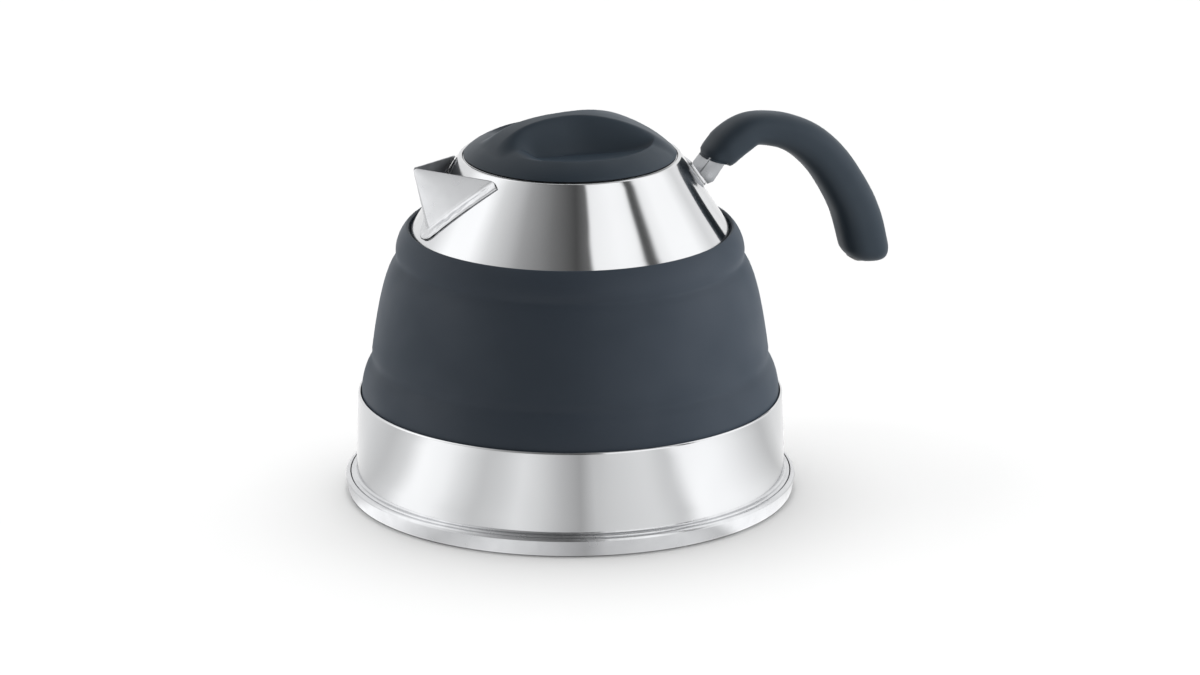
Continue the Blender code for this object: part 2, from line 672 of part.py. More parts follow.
def grip_ring(middle, way, thick, wide, steps=GRIP_STEPS):
    """A rounded-square ring across the grip."""
    side = Vector((0, 1, 0))
    up = way.cross(side)
    ring = []
    for step in range(steps):
        angle = math.tau * step / steps
        across = math.copysign(abs(math.cos(angle)) ** GRIP_SIDE_POWER, math.cos(angle))
        high = math.copysign(abs(math.sin(angle)) ** GRIP_SIDE_POWER, math.sin(angle))
        ring.append(middle + side * wide * across + up * thick * high)
    return ring


def grip_rings(skin, start):
    """Rings of the grip's outline drawn in by a skin, from a distance past the mouth to the end."""
    stations = grip_stations()
    place, way, thick, wide = stations[0]
    next_place, next_way, next_thick, next_wide = stations[1]
    share = start / (next_place - place).length
    stations[0] = (
        place.lerp(next_place, share),
        way.lerp(next_way, share).normalized(),
        thick + (next_thick - thick) * share,
        wide + (next_wide - wide) * share,
    )
    rings = []
    for middle, way, thick, wide in stations:
        rings.append(grip_ring(middle, way, thick - skin, wide - skin))
    last, way, thick, wide = stations[-1]
    depth = GRIP_END_ROUND - skin
    for angle in (30, 55, 75):
        turn = math.radians(angle)
        size = math.cos(turn) ** GRIP_END_POWER
        centre = last + way * depth * math.sin(turn)
        rings.append(grip_ring(centre, way, (thick - skin) * size, (wide - skin) * size))
    return rings


def make_grip_sleeve(look, parent):
    """Soft sleeve over the core: open at the bracket, closed round the free end."""
    inner = grip_rings(GRIP_SKIN, 0)
    outer = grip_rings(0, 0)
    return loft("grip_sleeve", inner[::-1] + outer, look, parent)


def tang_line():
    """Middle line of the tang, from the bracket up into the core."""
    places = [station[0] for station in grip_stations()]
    start = bracket_frame(-BRACKET_BASE_LENGTH / 4, PLATE_SHEET + TANG_THICKNESS)
    return [start, start.lerp(places[1], TANG_BEND_SHARE), places[1], places[2]]


def bar_rings(line, half_thick, half_wide):
    """Flat rings across a line in the handle's plane."""
    rings = []
    for index, place in enumerate(line):
        before = line[max(index - 1, 0)]
        after = line[min(index + 1, len(line) - 1)]
        way = (after - before).normalized()
        up = way.cross(Vector((0, 1, 0)))
        side = Vector((0, half_wide, 0))
        lift = up * half_thick
        corners = ((-1, -1), (1, -1), (1, 1), (-1, 1))
        rings.append([place + side * a + lift * b for a, b in corners])
    return rings


def tang_half_width():
    """The tang fills the bracket from side to side."""
    return BRACKET_HALF_WIDTH - BRACKET_SHEET - 2 * CLEARANCE


def make_tang(look, parent):
    """Flat steel bar welded inside the bracket, round which the core is moulded."""
    rings = bar_rings(tang_line(), TANG_THICKNESS / 2, tang_half_width())
    return loft("handle_tang", rings, look, parent)


def make_grip_core(look, parent):
    """Hard core of the grip, with a slot for the tang at the bracket's end."""
    core = loft("grip_core", grip_rings(GRIP_SKIN + CLEARANCE, GRIP_POCKET), look, parent)
    line = tang_line()
    line.append(line[-1] + (line[-1] - line[-2]).normalized() * CLEARANCE)
    slot_rings = bar_rings(line, TANG_THICKNESS / 2 + CLEARANCE, tang_half_width() + CLEARANCE)
    cut(core, loft("tang_slot_cutter", slot_rings, None, parent))
    return core


def dome_height(x, y):
    """Height of the lid's plain dome."""
    share = min((x * x + y * y) / LID_RADIUS**2, 1)
    return LID_EDGE_HEIGHT + LID_RISE * (1 - share) ** LID_RISE_POWER


def dished_height(x, y):
    """The dome with the round finger dish sunk in it."""
    reach = math.hypot(x, y) / LID_DISH_RADIUS
    dish = LID_DISH_DEPTH * (1 - min(reach, 1) ** 2) ** LID_DISH_POWER
    return dome_height(x, y) - dish


def lid_height(x, y):
    """Height of the lid's top: the dish, split by a crest that runs from spout to handle."""
    low = dished_height(x, y)
    away = x + CREST_SHIFT
    if away > 0:
        slope = (away / (LID_RADIUS - CREST_HANDLE_INSET + CREST_SHIFT)) ** CREST_HANDLE_POWER
    else:
        slope = (-away / (LID_RADIUS - CREST_SPOUT_INSET - CREST_SHIFT)) ** CREST_SPOUT_POWER
    top = dome_height(x, 0) + CREST_HEIGHT * max(1 - slope, 0)
    width = CREST_WIDTH * (1 + CREST_FLARE * (x / LID_RADIUS) ** 4)
    ridge = math.exp(-((abs(y) / width) ** CREST_SIDE_POWER))
    return low + max(top - low, 0) * ridge


def lid_top_rings():
    """Rings of (x, y) on the lid's top: from its edge to the dish's lip, then in along the crest."""
    rings = [circle(LID_RADIUS - LID_DISH_MARGIN * share) for share in LID_EDGE_SHARES]
    for along, across in LID_DISH_SHARES:
        rings.append([(x * along, y * across) for x, y in circle(LID_DISH_RADIUS)])
    return rings


def make_lid_cover(look, parent):
    """Soft-skinned cover: dome, two finger dishes and the crest between them, bosses underneath."""
    rings = []
    rest = LID_RADIUS - LID_WALL
    for share in LID_UNDER_SHARES:
        rings.append([(p, dished_height(*p) - LID_WALL) for p in circle(rest * share)])
    rings.append([(p, LID_EDGE_HEIGHT) for p in circle(rest)])
    rings.append([(p, LID_EDGE_HEIGHT) for p in circle(LID_RADIUS - 2 * CLEARANCE)])
    rim = LID_EDGE_HEIGHT + 2 * CLEARANCE
    for ring in lid_top_rings():
        rings.append([(p, max(lid_height(*p), rim)) for p in ring])
    points = [[(x, y, height) for (x, y), height in ring] for ring in rings]
    cover = loft("lid_cover", points, look, parent, strip_cap=True)
    cut(cover, rods("lid_boss_helper", boss_rods(0), parent), "UNION")
    cut(cover, rods("lid_bore_cutter", boss_rods(1), parent))
    return cover


def circle(radius, steps=ROUND_STEPS):
    """Points round the Z axis."""
    angles = [math.tau * step / steps for step in range(steps)]
    return [(radius * math.cos(angle), radius * math.sin(angle)) for angle in angles]


def screw_places():
    """Where the lid's screws stand."""
    turns = [math.tau * (index + 0.25) / SCREW_COUNT for index in range(SCREW_COUNT)]
    radius = PLUG_RADIUS - SCREW_INSET
    return [(radius * math.cos(turn), radius * math.sin(turn)) for turn in turns]


def boss_rods(bore):
    """The bosses under the cover, or the bores in them."""
    places = []
    low = PLUG_LOW + PLUG_FLOOR + CLEARANCE
    for x, y in screw_places():
        if bore:
            top = PLUG_LOW + SCREW_LENGTH
            places.append((x, y, low - CUT_OVERRUN, top, SCREW_RADIUS + CLEARANCE))
        else:
            top = dished_height(x, y) - LID_WALL / 2
            places.append((x, y, low, top, SCREW_RADIUS + CLEARANCE + BOSS_WALL))
    return places


def make_lid_plug(look, parent):
    """Hard plug that fills the mouth: floor, wall and a groove for the seal."""
    low = PLUG_LOW
    top = LID_EDGE_HEIGHT - CLEARANCE
    groove_top = MOUTH_TOP - SEAL_DROP + CLEARANCE + SEAL_HEIGHT / 2
    groove_low = MOUTH_TOP - SEAL_DROP - CLEARANCE - SEAL_HEIGHT / 2
    groove = PLUG_RADIUS - SEAL_DEPTH - CLEARANCE
    inside = PLUG_RADIUS - PLUG_WALL
    section = [
        (0, low),
        (PLUG_RADIUS - PLUG_FLOOR / 2, low),
        (PLUG_RADIUS, low + PLUG_FLOOR / 2),
        (PLUG_RADIUS, groove_low),
        (groove, groove_low),
        (groove, groove_top),
        (PLUG_RADIUS, groove_top),
        (PLUG_RADIUS, top),
        (inside, top),
        (inside, low + PLUG_FLOOR),
        (0, low + PLUG_FLOOR),
    ]
    plug = lathe("lid_plug", section, look, parent, SMALL_ROUND_STEPS)
    hole_top = low + PLUG_FLOOR + CLEARANCE
    bore = SCREW_RADIUS + CLEARANCE
    holes = [(x, y, low - CUT_OVERRUN, hole_top, bore) for x, y in screw_places()]
    cut(plug, rods("plug_hole_cutter", holes, parent))
    return plug


def make_lid_seal(look, parent):
    """Silicone ring in the plug's groove, with a rounded face towards the mouth."""
    inner = PLUG_RADIUS - SEAL_DEPTH
    outer = NECK_RADIUS - CLEARANCE
    middle = MOUTH_TOP - SEAL_DROP
    half = SEAL_HEIGHT / 2
    section = [
        (inner, middle - half),
        (PLUG_RADIUS, middle - half),
        (outer, middle - half / 2),
        (outer, middle + half / 2),
        (PLUG_RADIUS, middle + half),
        (inner, middle + half),
    ]
    return lathe("lid_seal", section, look, parent, SMALL_ROUND_STEPS)


def make_lid_screws(look, parent):
    """Pan-head screws that hold the plug to the cover's bosses, put in from below."""
    low = PLUG_LOW - CLEARANCE
    for index, (x, y) in enumerate(screw_places(), 1):
        section = [
            (0, low - SCREW_HEAD_HEIGHT),
            (SCREW_HEAD_RADIUS * SCREW_FACE_SHARE, low - SCREW_HEAD_HEIGHT),
            (SCREW_HEAD_RADIUS, low - SCREW_HEAD_HEIGHT / 2),
            (SCREW_HEAD_RADIUS, low),
            (SCREW_RADIUS, low),
            (SCREW_RADIUS, low + SCREW_LENGTH - SCREW_RADIUS),
            (0, low + SCREW_LENGTH),
        ]
        screw = lathe(f"lid_screw_{index}", section, look, parent, FASTENER_STEPS)
        screw.location = (x, y, 0)


def main():
    """Build every piece under the empty of the body that carries it."""
    for obj in list(bpy.data.objects):
        bpy.data.objects.remove(obj)
    polished = material("polished_steel", (0.62, 0.62, 0.62), 0.12, 1)
    inner_steel = material("satin_steel", (0.52, 0.52, 0.52), 0.32, 1)
    aluminium = material("aluminium", (0.60, 0.60, 0.61), 0.40, 1)
    silicone = material("navy_silicone", (0.045, 0.060, 0.080), 0.55, 0)
    grip = material("navy_soft_touch", (0.040, 0.053, 0.072), 0.50, 0)
    plastic = material("black_plastic", (0.02, 0.02, 0.02), 0.40, 0)
    clear = material("grey_seal_silicone", (0.30, 0.31, 0.32), 0.50, 0)
    bodies = {}
    for name in ("base", "collar", "lid"):
        bodies[name] = bpy.data.objects.new(name, None)
        bpy.context.scene.collection.objects.link(bodies[name])
    bodies["collar"].parent = bodies["base"]
    bodies["lid"].parent = bodies["collar"]
    make_base_cap(polished, bodies["base"])
    make_heat_disc(aluminium, bodies["base"])
    make_base_pan(polished, bodies["base"])
    make_silicone_wall(silicone, bodies["base"])
    make_lower_ring(inner_steel, bodies["base"])
    make_upper_ring(inner_steel, bodies["collar"])
    make_collar_cone(polished, bodies["collar"])
    make_mouth_ring(polished, bodies["collar"])
    make_spout(polished, bodies["collar"])
    make_mount_plate(polished, bodies["collar"])
    make_bracket(polished, bodies["collar"])
    make_tang(inner_steel, bodies["collar"])
    make_grip_core(plastic, bodies["collar"])
    make_grip_sleeve(grip, bodies["collar"])
    make_lid_cover(grip, bodies["lid"])
    make_lid_plug(plastic, bodies["lid"])
    make_lid_seal(clear, bodies["lid"])
    make_lid_screws(inner_steel, bodies["lid"])


main()
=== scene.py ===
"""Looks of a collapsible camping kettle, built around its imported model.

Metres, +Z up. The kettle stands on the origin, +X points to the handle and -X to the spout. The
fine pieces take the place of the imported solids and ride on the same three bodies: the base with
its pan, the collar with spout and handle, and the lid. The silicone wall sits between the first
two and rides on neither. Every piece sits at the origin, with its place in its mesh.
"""

from __future__ import annotations

import logging
import math
from dataclasses import dataclass, field
from enum import Enum
from typing import Callable, Iterable, Sequence

import bmesh
import bpy
from mathutils import Matrix, Vector

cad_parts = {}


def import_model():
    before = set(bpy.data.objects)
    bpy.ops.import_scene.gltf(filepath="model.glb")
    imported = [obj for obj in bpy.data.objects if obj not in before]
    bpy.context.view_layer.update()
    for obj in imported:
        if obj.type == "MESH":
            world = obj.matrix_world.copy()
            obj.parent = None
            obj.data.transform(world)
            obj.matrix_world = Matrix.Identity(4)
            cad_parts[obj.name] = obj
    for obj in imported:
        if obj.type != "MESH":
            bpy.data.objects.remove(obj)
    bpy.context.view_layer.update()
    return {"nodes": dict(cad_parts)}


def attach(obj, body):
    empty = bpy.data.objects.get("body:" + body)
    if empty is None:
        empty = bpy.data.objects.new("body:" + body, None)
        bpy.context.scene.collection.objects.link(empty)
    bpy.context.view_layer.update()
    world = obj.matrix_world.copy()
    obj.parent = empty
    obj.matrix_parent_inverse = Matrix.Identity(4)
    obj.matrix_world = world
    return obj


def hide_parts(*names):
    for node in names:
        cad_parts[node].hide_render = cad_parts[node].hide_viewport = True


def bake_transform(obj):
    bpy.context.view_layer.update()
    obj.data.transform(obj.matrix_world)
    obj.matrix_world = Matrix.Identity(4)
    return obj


LOG = logging.getLogger("kettle")
ROUND_STEPS = 240
SMALL_ROUND_STEPS = 96
SCREW_STEPS = 36
SHARP_ANGLE = math.radians(38)
WELD = 1e-6
CUT_EDGE = 0.0002

Point = tuple[float, float]
Ring = tuple[Point, ...]
Piece = bpy.types.Object
Mesh = bmesh.types.BMesh
Tree = bpy.types.NodeTree
Node = bpy.types.Node
Socket = bpy.types.NodeSocket


class Body(Enum):
    """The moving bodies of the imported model."""

    BASE = "base"
    COLLAR = "collar"
    LID = "lid"


class Slot(Enum):
    """The record's material slots."""

    POLISHED = "polished_steel"
    SATIN = "satin_steel"
    ALUMINIUM = "aluminium_core"
    SILICONE = "silicone"
    SOFT_TOUCH = "soft_touch"
    PLASTIC = "hard_plastic"
    SEAL = "seal_silicone"


class Side(Enum):
    """Which way along X a piece lies on the cone."""

    HANDLE = 1
    SPOUT = -1


def linear(colour: str) -> tuple[float, float, float, float]:
    """Turn an sRGB hex colour into Blender's linear one, with full opacity."""
    shares = [int(colour[start : start + 2], 16) / 255 for start in (1, 3, 5)]
    lit = [s / 12.92 if s <= 0.04045 else ((s + 0.055) / 1.055) ** 2.4 for s in shares]
    return (lit[0], lit[1], lit[2], 1.0)


def ease(share: float) -> float:
    """Keep a share between 0 and 1, and let it start and end gently."""
    share = min(max(share, 0), 1)
    return share * share * (3 - 2 * share)


def add_node(
    tree: Tree, kind: str, inputs: dict[str | int, object] | None = None, **settings: object
) -> Node:
    """Add a shader node with its settings, its values and its links.

    Args:
        tree: Node tree that gets the node.
        kind: Blender's type name of the node, without its prefix.
        inputs: A value, or the output socket to link, for each input.
        settings: Properties of the node itself.

    Returns:
        The new node.
    """
    node = tree.nodes.new("ShaderNode" + kind)
    for name, value in settings.items():
        setattr(node, name, value)
    for socket, value in (inputs or {}).items():
        if isinstance(value, Socket):
            tree.links.new(value, node.inputs[socket])
        else:
            node.inputs[socket].default_value = value
    return node


@dataclass(frozen=True)
class Grain:
    """A noise pattern with a real size, in metres along X, Y and Z."""

    size: tuple[float, float, float]
    detail: float = 2.0

    @classmethod
    def even(cls, size: float, detail: float = 2.0) -> Grain:
        """Make a pattern that is the same size in every direction."""
        return cls((size, size, size), detail)

    def add(self, tree: Tree, place: Socket) -> Socket:
        """Add the pattern at Object coordinates, and give its value, about 0 to 1."""
        scale = tuple(1 / size for size in self.size)
        scaled = add_node(tree, "Mapping", {"Vector": place, "Scale": scale}).outputs[0]
        noise = {"Vector": scaled, "Scale": 1.0, "Detail": self.detail}
        return add_node(tree, "TexNoise", noise).outputs["Fac"]


@dataclass(frozen=True)
class Finish:
    """What every finish shares: a colour, a roughness that wanders, and a height pattern."""

    name: str
    colour: str
    tint: str
    roughness: Point
    blotch: Grain
    grain: Grain
    grain_height: float
    ripple: Grain | None = None
    ripple_height: float = 0.0
    sockets: tuple[tuple[str, float], ...] = ()
    sheen_tint: str | None = None
    drawn: bool = False
    blotch_span: Point = (0.3, 0.7)

    def build(self) -> bpy.types.Material:
        """Make the material once, and find it again later."""
        found = bpy.data.materials.get(self.name)
        if found:
            return found
        made = bpy.data.materials.new(self.name)
        made.use_nodes = True
        tree = made.node_tree
        shader = tree.nodes["Principled BSDF"]
        place = add_node(tree, "TexCoord").outputs["Object"]
        blotch = self.blotch.add(tree, place)
        grain = self.grain.add(tree, place)
        colours = {"Factor": blotch, "A": linear(self.colour), "B": linear(self.tint)}
        mixed = add_node(tree, "Mix", colours, data_type="RGBA")
        tree.links.new(mixed.outputs["Result"], shader.inputs["Base Color"])
        low, high = self.blotch_span
        smooth, rough = self.roughness
        ends = {"From Min": low, "From Max": high, "To Min": smooth, "To Max": rough}
        wandering = add_node(tree, "MapRange", {"Value": blotch, **ends})
        tree.links.new(wandering.outputs[0], shader.inputs["Roughness"])
        relief = {"Height": grain, "Distance": self.grain_height, "Strength": 1.0}
        bump = add_node(tree, "Bump", relief)
        if self.ripple:
            ripple = self.ripple.add(tree, place)
            relief = {"Height": ripple, "Distance": self.ripple_height, "Strength": 1.0}
            bump = add_node(tree, "Bump", {**relief, "Normal": bump.outputs[0]})
        tree.links.new(bump.outputs[0], shader.inputs["Normal"])
        if self.drawn:
            upward = add_node(tree, "CombineXYZ", {"Z": 1.0})
            tree.links.new(upward.outputs[0], shader.inputs["Tangent"])
        if self.sheen_tint:
            shader.inputs["Sheen Tint"].default_value = linear(self.sheen_tint)
        for socket, value in self.sockets:
            shader.inputs[socket].default_value = value
        return made


@dataclass(frozen=True)
class Metal(Finish):
    """A bare metal."""

    sockets: tuple[tuple[str, float], ...] = (("Metallic", 1.0),)


# Stainless steel sheet, drawn on a press and polished round its axis: nearly a mirror from side
# to side, while the polishing lines smear what it shows up and down into upright streaks.
DRAWN_STEEL = Metal(
    name="polished_stainless_steel",
    colour="#D2D3D4",
    tint="#C9CACC",
    roughness=(0.10, 0.15),
    blotch=Grain((0.035, 0.035, 0.060)),
    # Real polishing lines are about 0.05 mm apart, too fine to show, so they are drawn 0.5 mm apart.
    grain=Grain((0.060, 0.060, 0.0005)),
    grain_height=0.00000012,
    ripple=Grain((0.022, 0.022, 0.050), 1.0),
    ripple_height=0.00012,
    sockets=(("Metallic", 1.0), ("Anisotropic", 0.97)),
    drawn=True,
)
# The same steel where it is folded or rolled and buffed by hand: an even mirror, a little cloudy.
BUFFED_STEEL = Metal(
    name="buffed_stainless_steel",
    colour="#CFD0D2",
    tint="#C2C3C5",
    roughness=(0.18, 0.30),
    blotch=Grain.even(0.008),
    grain=Grain.even(0.0014),
    grain_height=0.0000006,
    ripple=Grain.even(0.007, 1.0),
    ripple_height=0.00004,
)
# Steel inside the kettle and of the screws, left as it comes from the rolling mill: a dull shine.
SATIN_STEEL = Metal(
    name="mill_finish_stainless_steel",
    colour="#C9CACB",
    tint="#BBBCBE",
    roughness=(0.30, 0.42),
    blotch=Grain.even(0.015),
    grain=Grain((0.012, 0.012, 0.0006)),
    grain_height=0.000002,
)
# The spout's inside: the steel painted a darker grey as shade inside the V, and dull.
PICKLED_STEEL = Metal(
    name="pickled_stainless_steel",
    colour="#7F8184",
    tint="#737578",
    roughness=(0.36, 0.50),
    blotch=Grain.even(0.006),
    grain=Grain.even(0.0008),
    grain_height=0.000003,
)
# The bracket under the grip: the polished steel painted greyer, as shade under the grip.
TUMBLED_STEEL = Metal(
    name="tumbled_stainless_steel",
    colour="#A0A2A5",
    tint="#8F9194",
    roughness=(0.24, 0.36),
    blotch=Grain.even(0.005),
    grain=Grain.even(0.0010),
    grain_height=0.000001,
    ripple=Grain.even(0.006, 1.0),
    ripple_height=0.00003,
)
# The aluminium disc in the base, as cast and turned: pale and dull.
ALUMINIUM = Metal(
    name="turned_aluminium",
    colour="#C8C9CB",
    tint="#BCBEC0",
    roughness=(0.35, 0.48),
    blotch=Grain.even(0.020),
    grain=Grain.even(0.0006),
    grain_height=0.000004,
)
# Heat-proof silicone rubber from a fine spark-eroded mould: matt, with a dusty bloom at its edges.
SILICONE = Finish(
    name="moulded_silicone_rubber",
    colour="#303842",
    tint="#2B333C",
    roughness=(0.50, 0.64),
    blotch=Grain((0.040, 0.040, 0.030)),
    # The mould's grain is about 0.05 mm, too fine to show, so it is drawn at 0.4 mm.
    grain=Grain.even(0.0004, 3.0),
    grain_height=0.000012,
    ripple=Grain((0.026, 0.026, 0.018), 1.0),
    ripple_height=0.00008,
    sockets=(
        ("IOR", 1.41),
        ("Specular IOR Level", 0.4),
        ("Sheen Weight", 0.10),
        ("Sheen Roughness", 0.45),
    ),
    sheen_tint="#98B8D4",
)
# Soft-touch rubber skin on the grip and the lid: a finer, slightly silkier surface.
SOFT_TOUCH = Finish(
    name="soft_touch_elastomer",
    colour="#2B343D",
    tint="#273038",
    roughness=(0.44, 0.56),
    blotch=Grain.even(0.020),
    # Spark-eroded grain of about 0.05 mm, drawn at 0.35 mm so that it shows.
    grain=Grain.even(0.00035, 3.0),
    grain_height=0.000010,
    sockets=(
        ("IOR", 1.46),
        ("Specular IOR Level", 0.28),
        ("Sheen Weight", 0.07),
        ("Sheen Roughness", 0.40),
    ),
    sheen_tint="#98B8D4",
)
# Glass-filled nylon of the plug and the grip's core: black, with a faint moulded grain.
NYLON = Finish(
    name="glass_filled_nylon",
    colour="#1B1C1E",
    tint="#232426",
    roughness=(0.36, 0.50),
    blotch=Grain.even(0.010),
    grain=Grain.even(0.0005, 3.0),
    grain_height=0.000012,
    sockets=(("IOR", 1.53),),
)
# Grey silicone of the lid's ring: softer and shinier than the wall, as it comes from a smooth mould.
SEAL = Finish(
    name="smooth_seal_silicone",
    colour="#8E9093",
    tint="#85878A",
    roughness=(0.34, 0.44),
    blotch=Grain.even(0.012),
    grain=Grain.even(0.0006),
    grain_height=0.000006,
    sockets=(("IOR", 1.41), ("Subsurface Weight", 0.1), ("Subsurface Scale", 0.001)),
)


@dataclass(frozen=True)
class Levels:
    """Radii and heights at which the kettle's steel and silicone meet, from the base up."""

    gap: float = 0.0003
    pan_foot_radius: float = 0.0953
    pan_rim_radius: float = 0.0942
    pan_rim_height: float = 0.0457
    pan_sheet: float = 0.0008
    rim_roll: float = 0.0009
    lower_hinge_radius: float = 0.0882
    lower_hinge_height: float = 0.0616
    upper_hinge_radius: float = 0.0772
    upper_hinge_height: float = 0.1077
    cone_foot_radius: float = 0.0705
    cone_foot_height: float = 0.1207
    cone_foot_bend: float = 0.0015
    bead_drop: float = 0.0098
    cone_top_radius: float = 0.0494
    cone_top_height: float = 0.1527
    cone_sheet: float = 0.0008
    neck_radius: float = 0.0462
    mouth_rise: float = 0.0008

    @property
    def slope(self) -> float:
        """How much the cone draws in for each metre of height."""
        fall = self.cone_foot_radius - self.cone_top_radius
        return fall / (self.cone_top_height - self.cone_foot_height)

    @property
    def angle(self) -> float:
        """Elevation of the cone's normal."""
        return math.atan(self.slope)

    @property
    def flange_radius(self) -> float:
        """Outer radius of the cone's turned-down foot."""
        return self.cone_foot_radius + self.gap

    @property
    def bend_centre(self) -> Point:
        """Middle of the bend between the cone and its foot."""
        bend = self.cone_foot_bend
        return (self.flange_radius - bend, self.cone_foot_height - bend)

    @property
    def mouth_top(self) -> float:
        """Height of the top of the cone's brim and of the mouth's roll."""
        return self.cone_top_height + self.mouth_rise

    def cone_radius(self, height: float) -> float:
        """Outer radius of the cone at a height."""
        return self.cone_foot_radius - (height - self.cone_foot_height) * self.slope

    def on_cone(self, across: float, height: float, out: float, side: Side) -> Vector:
        """Find a point on the cone.

        Args:
            across: Distance along the surface from the X axis.
            height: Height above the ground.
            out: Distance off the surface.
            side: Handle's or spout's side.

        Returns:
            The point.
        """
        radius = self.cone_radius(height)
        turn = across / radius
        outward = Vector((math.cos(turn) * side.value, math.sin(turn), 0))
        normal = outward * math.cos(self.angle) + Vector((0, 0, math.sin(self.angle)))
        return outward * radius + Vector((0, 0, height)) + normal * out


LEVELS = Levels()


@dataclass
class Outline:
    """A line of (radius, height) points, drawn run by run."""

    points: list[Point] = field(default_factory=list)

    def to(self, radius: float, height: float) -> Outline:
        """Add a corner."""
        self.points.append((radius, height))
        return self

    def arc(self, centre: Point, radius: float, start: float, end: float, steps: int) -> Outline:
        """Add an arc.

        Args:
            centre: Middle of the arc.
            radius: Its radius.
            start: Angle where it starts, in degrees.
            end: Angle where it ends, in degrees.
            steps: Number of chords.

        Returns:
            The same outline.
        """
        for step in range(steps + 1):
            turn = math.radians(start + (end - start) * step / steps)
            self.to(centre[0] + radius * math.cos(turn), centre[1] + radius * math.sin(turn))
        return self

    def curve(self, end: Point, shares: Sequence[Point], steps: int) -> Outline:
        """Add a Bezier curve from the last point.

        Args:
            end: Where it ends.
            shares: Its two handles, as shares of the box between its ends.
            steps: Number of chords.

        Returns:
            The same outline.
        """
        start = Vector(self.points[-1])
        size = Vector(end) - start
        first, second = [start + Vector((size.x * a, size.y * b)) for a, b in shares]
        for step in range(1, steps + 1):
            t = step / steps
            place = start * (1 - t) ** 3 + first * 3 * t * (1 - t) ** 2
            place += second * 3 * t**2 * (1 - t) + Vector(end) * t**3
            self.to(place.x, place.y)
        return self


@dataclass(frozen=True)
class Soft:
    """A stretch of an outline that is smoothed, round a height."""

    height: float
    reach: float
    passes: int


def shade(mesh: bpy.types.Mesh, sharp: float = SHARP_ANGLE) -> None:
    """Shade a mesh smooth, with its edges sharp from an angle on."""
    mesh.shade_smooth()
    mesh.set_sharp_from_angle(angle=sharp)


def new_object(name: str, bm: Mesh, sharp: float = SHARP_ANGLE) -> Piece:
    """Turn a bmesh into a smooth-shaded object at the origin.

    Args:
        name: The piece's name.
        bm: Its mesh, which is freed.
        sharp: Angle from which an edge stays sharp.

    Returns:
        The new object.
    """
    mesh = bpy.data.meshes.new(name)
    bm.to_mesh(mesh)
    bm.free()
    shade(mesh, sharp)
    made = bpy.data.objects.new(name, mesh)
    bpy.context.scene.collection.objects.link(made)
    return made


def settle(piece: Piece) -> Piece:
    """Bake a piece's modifiers into its mesh, and give the piece back."""
    graph = bpy.context.evaluated_depsgraph_get()
    mesh = bpy.data.meshes.new_from_object(piece.evaluated_get(graph))
    mesh.name = piece.name
    piece.modifiers.clear()
    piece.data = mesh
    shade(mesh)
    return piece


def soften(piece: Piece, width: float, segments: int = 2, angle: float = 50.0) -> None:
    """Add a Bevel on a piece's sharp edges.

    Args:
        piece: The piece.
        width: Width of the bevel.
        segments: Faces across it.
        angle: Angle from which an edge gets it, in degrees.
    """
    round_off = piece.modifiers.new("edges", "BEVEL")
    round_off.width = width
    round_off.segments = segments
    round_off.limit_method = "ANGLE"
    round_off.angle_limit = math.radians(angle)


def thicken(piece: Piece, thickness: float, edge: float = 0.0) -> Piece:
    """Give a sheet its wall, inwards from its outer face, and soften its cut edges.

    Args:
        piece: An open sheet whose normals point out.
        thickness: The wall.
        edge: Radius on the cut edges, or none.

    Returns:
        The same piece, with its modifiers applied.
    """
    wall = piece.modifiers.new("wall", "SOLIDIFY")
    wall.thickness = thickness
    wall.offset = -1.0
    wall.use_even_offset = True
    if edge:
        soften(piece, edge)
    return settle(piece)


def cut_out(piece: Piece, cutter: Piece, crossing: bool = False) -> Piece:
    """Cut a shape out of a piece.

    Args:
        piece: The piece.
        cutter: The shape, which is deleted afterwards.
        crossing: Whether parts of the shape run through each other.

    Returns:
        The same piece.
    """
    cut = piece.modifiers.new("cut", "BOOLEAN")
    cut.operation = "DIFFERENCE"
    cut.solver = "EXACT"
    cut.use_self = crossing
    cut.object = cutter
    settle(piece)
    bpy.data.objects.remove(cutter)
    return piece


def spin_round(bm: Mesh, steps: int) -> None:
    """Spin all of a mesh once round the Z axis, in so many steps, and weld it to itself."""
    line = bm.verts[:] + bm.edges[:]
    once = {"cent": (0, 0, 0), "axis": (0, 0, 1), "angle": math.tau, "use_merge": True}
    bmesh.ops.spin(bm, geom=line, steps=steps, **once)
    bmesh.ops.remove_doubles(bm, verts=bm.verts, dist=WELD)


def turned(
    name: str,
    outline: Outline,
    closed: bool = True,
    steps: int = ROUND_STEPS,
    softs: Iterable[Soft] = (),
    place: Point = (0.0, 0.0),
) -> Piece:
    """Turn an outline round an upright axis.

    Args:
        name: The piece's name.
        outline: A closed section, or a sheet's outer line with the metal on its left.
        closed: Whether the outline is a section.
        steps: Faces round the axis.
        softs: Stretches that are smoothed before the turn.
        place: Where the axis stands.

    Returns:
        The new object.
    """
    bm = bmesh.new()
    verts = [bm.verts.new((radius, 0, height)) for radius, height in outline.points]
    for pair in zip(verts, verts[1:]):
        bm.edges.new(pair)
    on_axis = outline.points[0][0] < WELD and outline.points[-1][0] < WELD
    if closed and not on_axis:
        bm.edges.new((verts[-1], verts[0]))
    for soft in softs:
        near = [v for v in verts if abs(v.co.z - soft.height) < soft.reach]
        for _ in range(soft.passes):
            bmesh.ops.smooth_vert(bm, verts=near, factor=0.5, use_axis_x=True, use_axis_z=True)
    spin_round(bm, steps)
    bmesh.ops.recalc_face_normals(bm, faces=bm.faces)
    if not closed:
        face_outwards(bm, outline)
    bmesh.ops.translate(bm, verts=bm.verts, vec=(*place, 0))
    return new_object(name, bm)


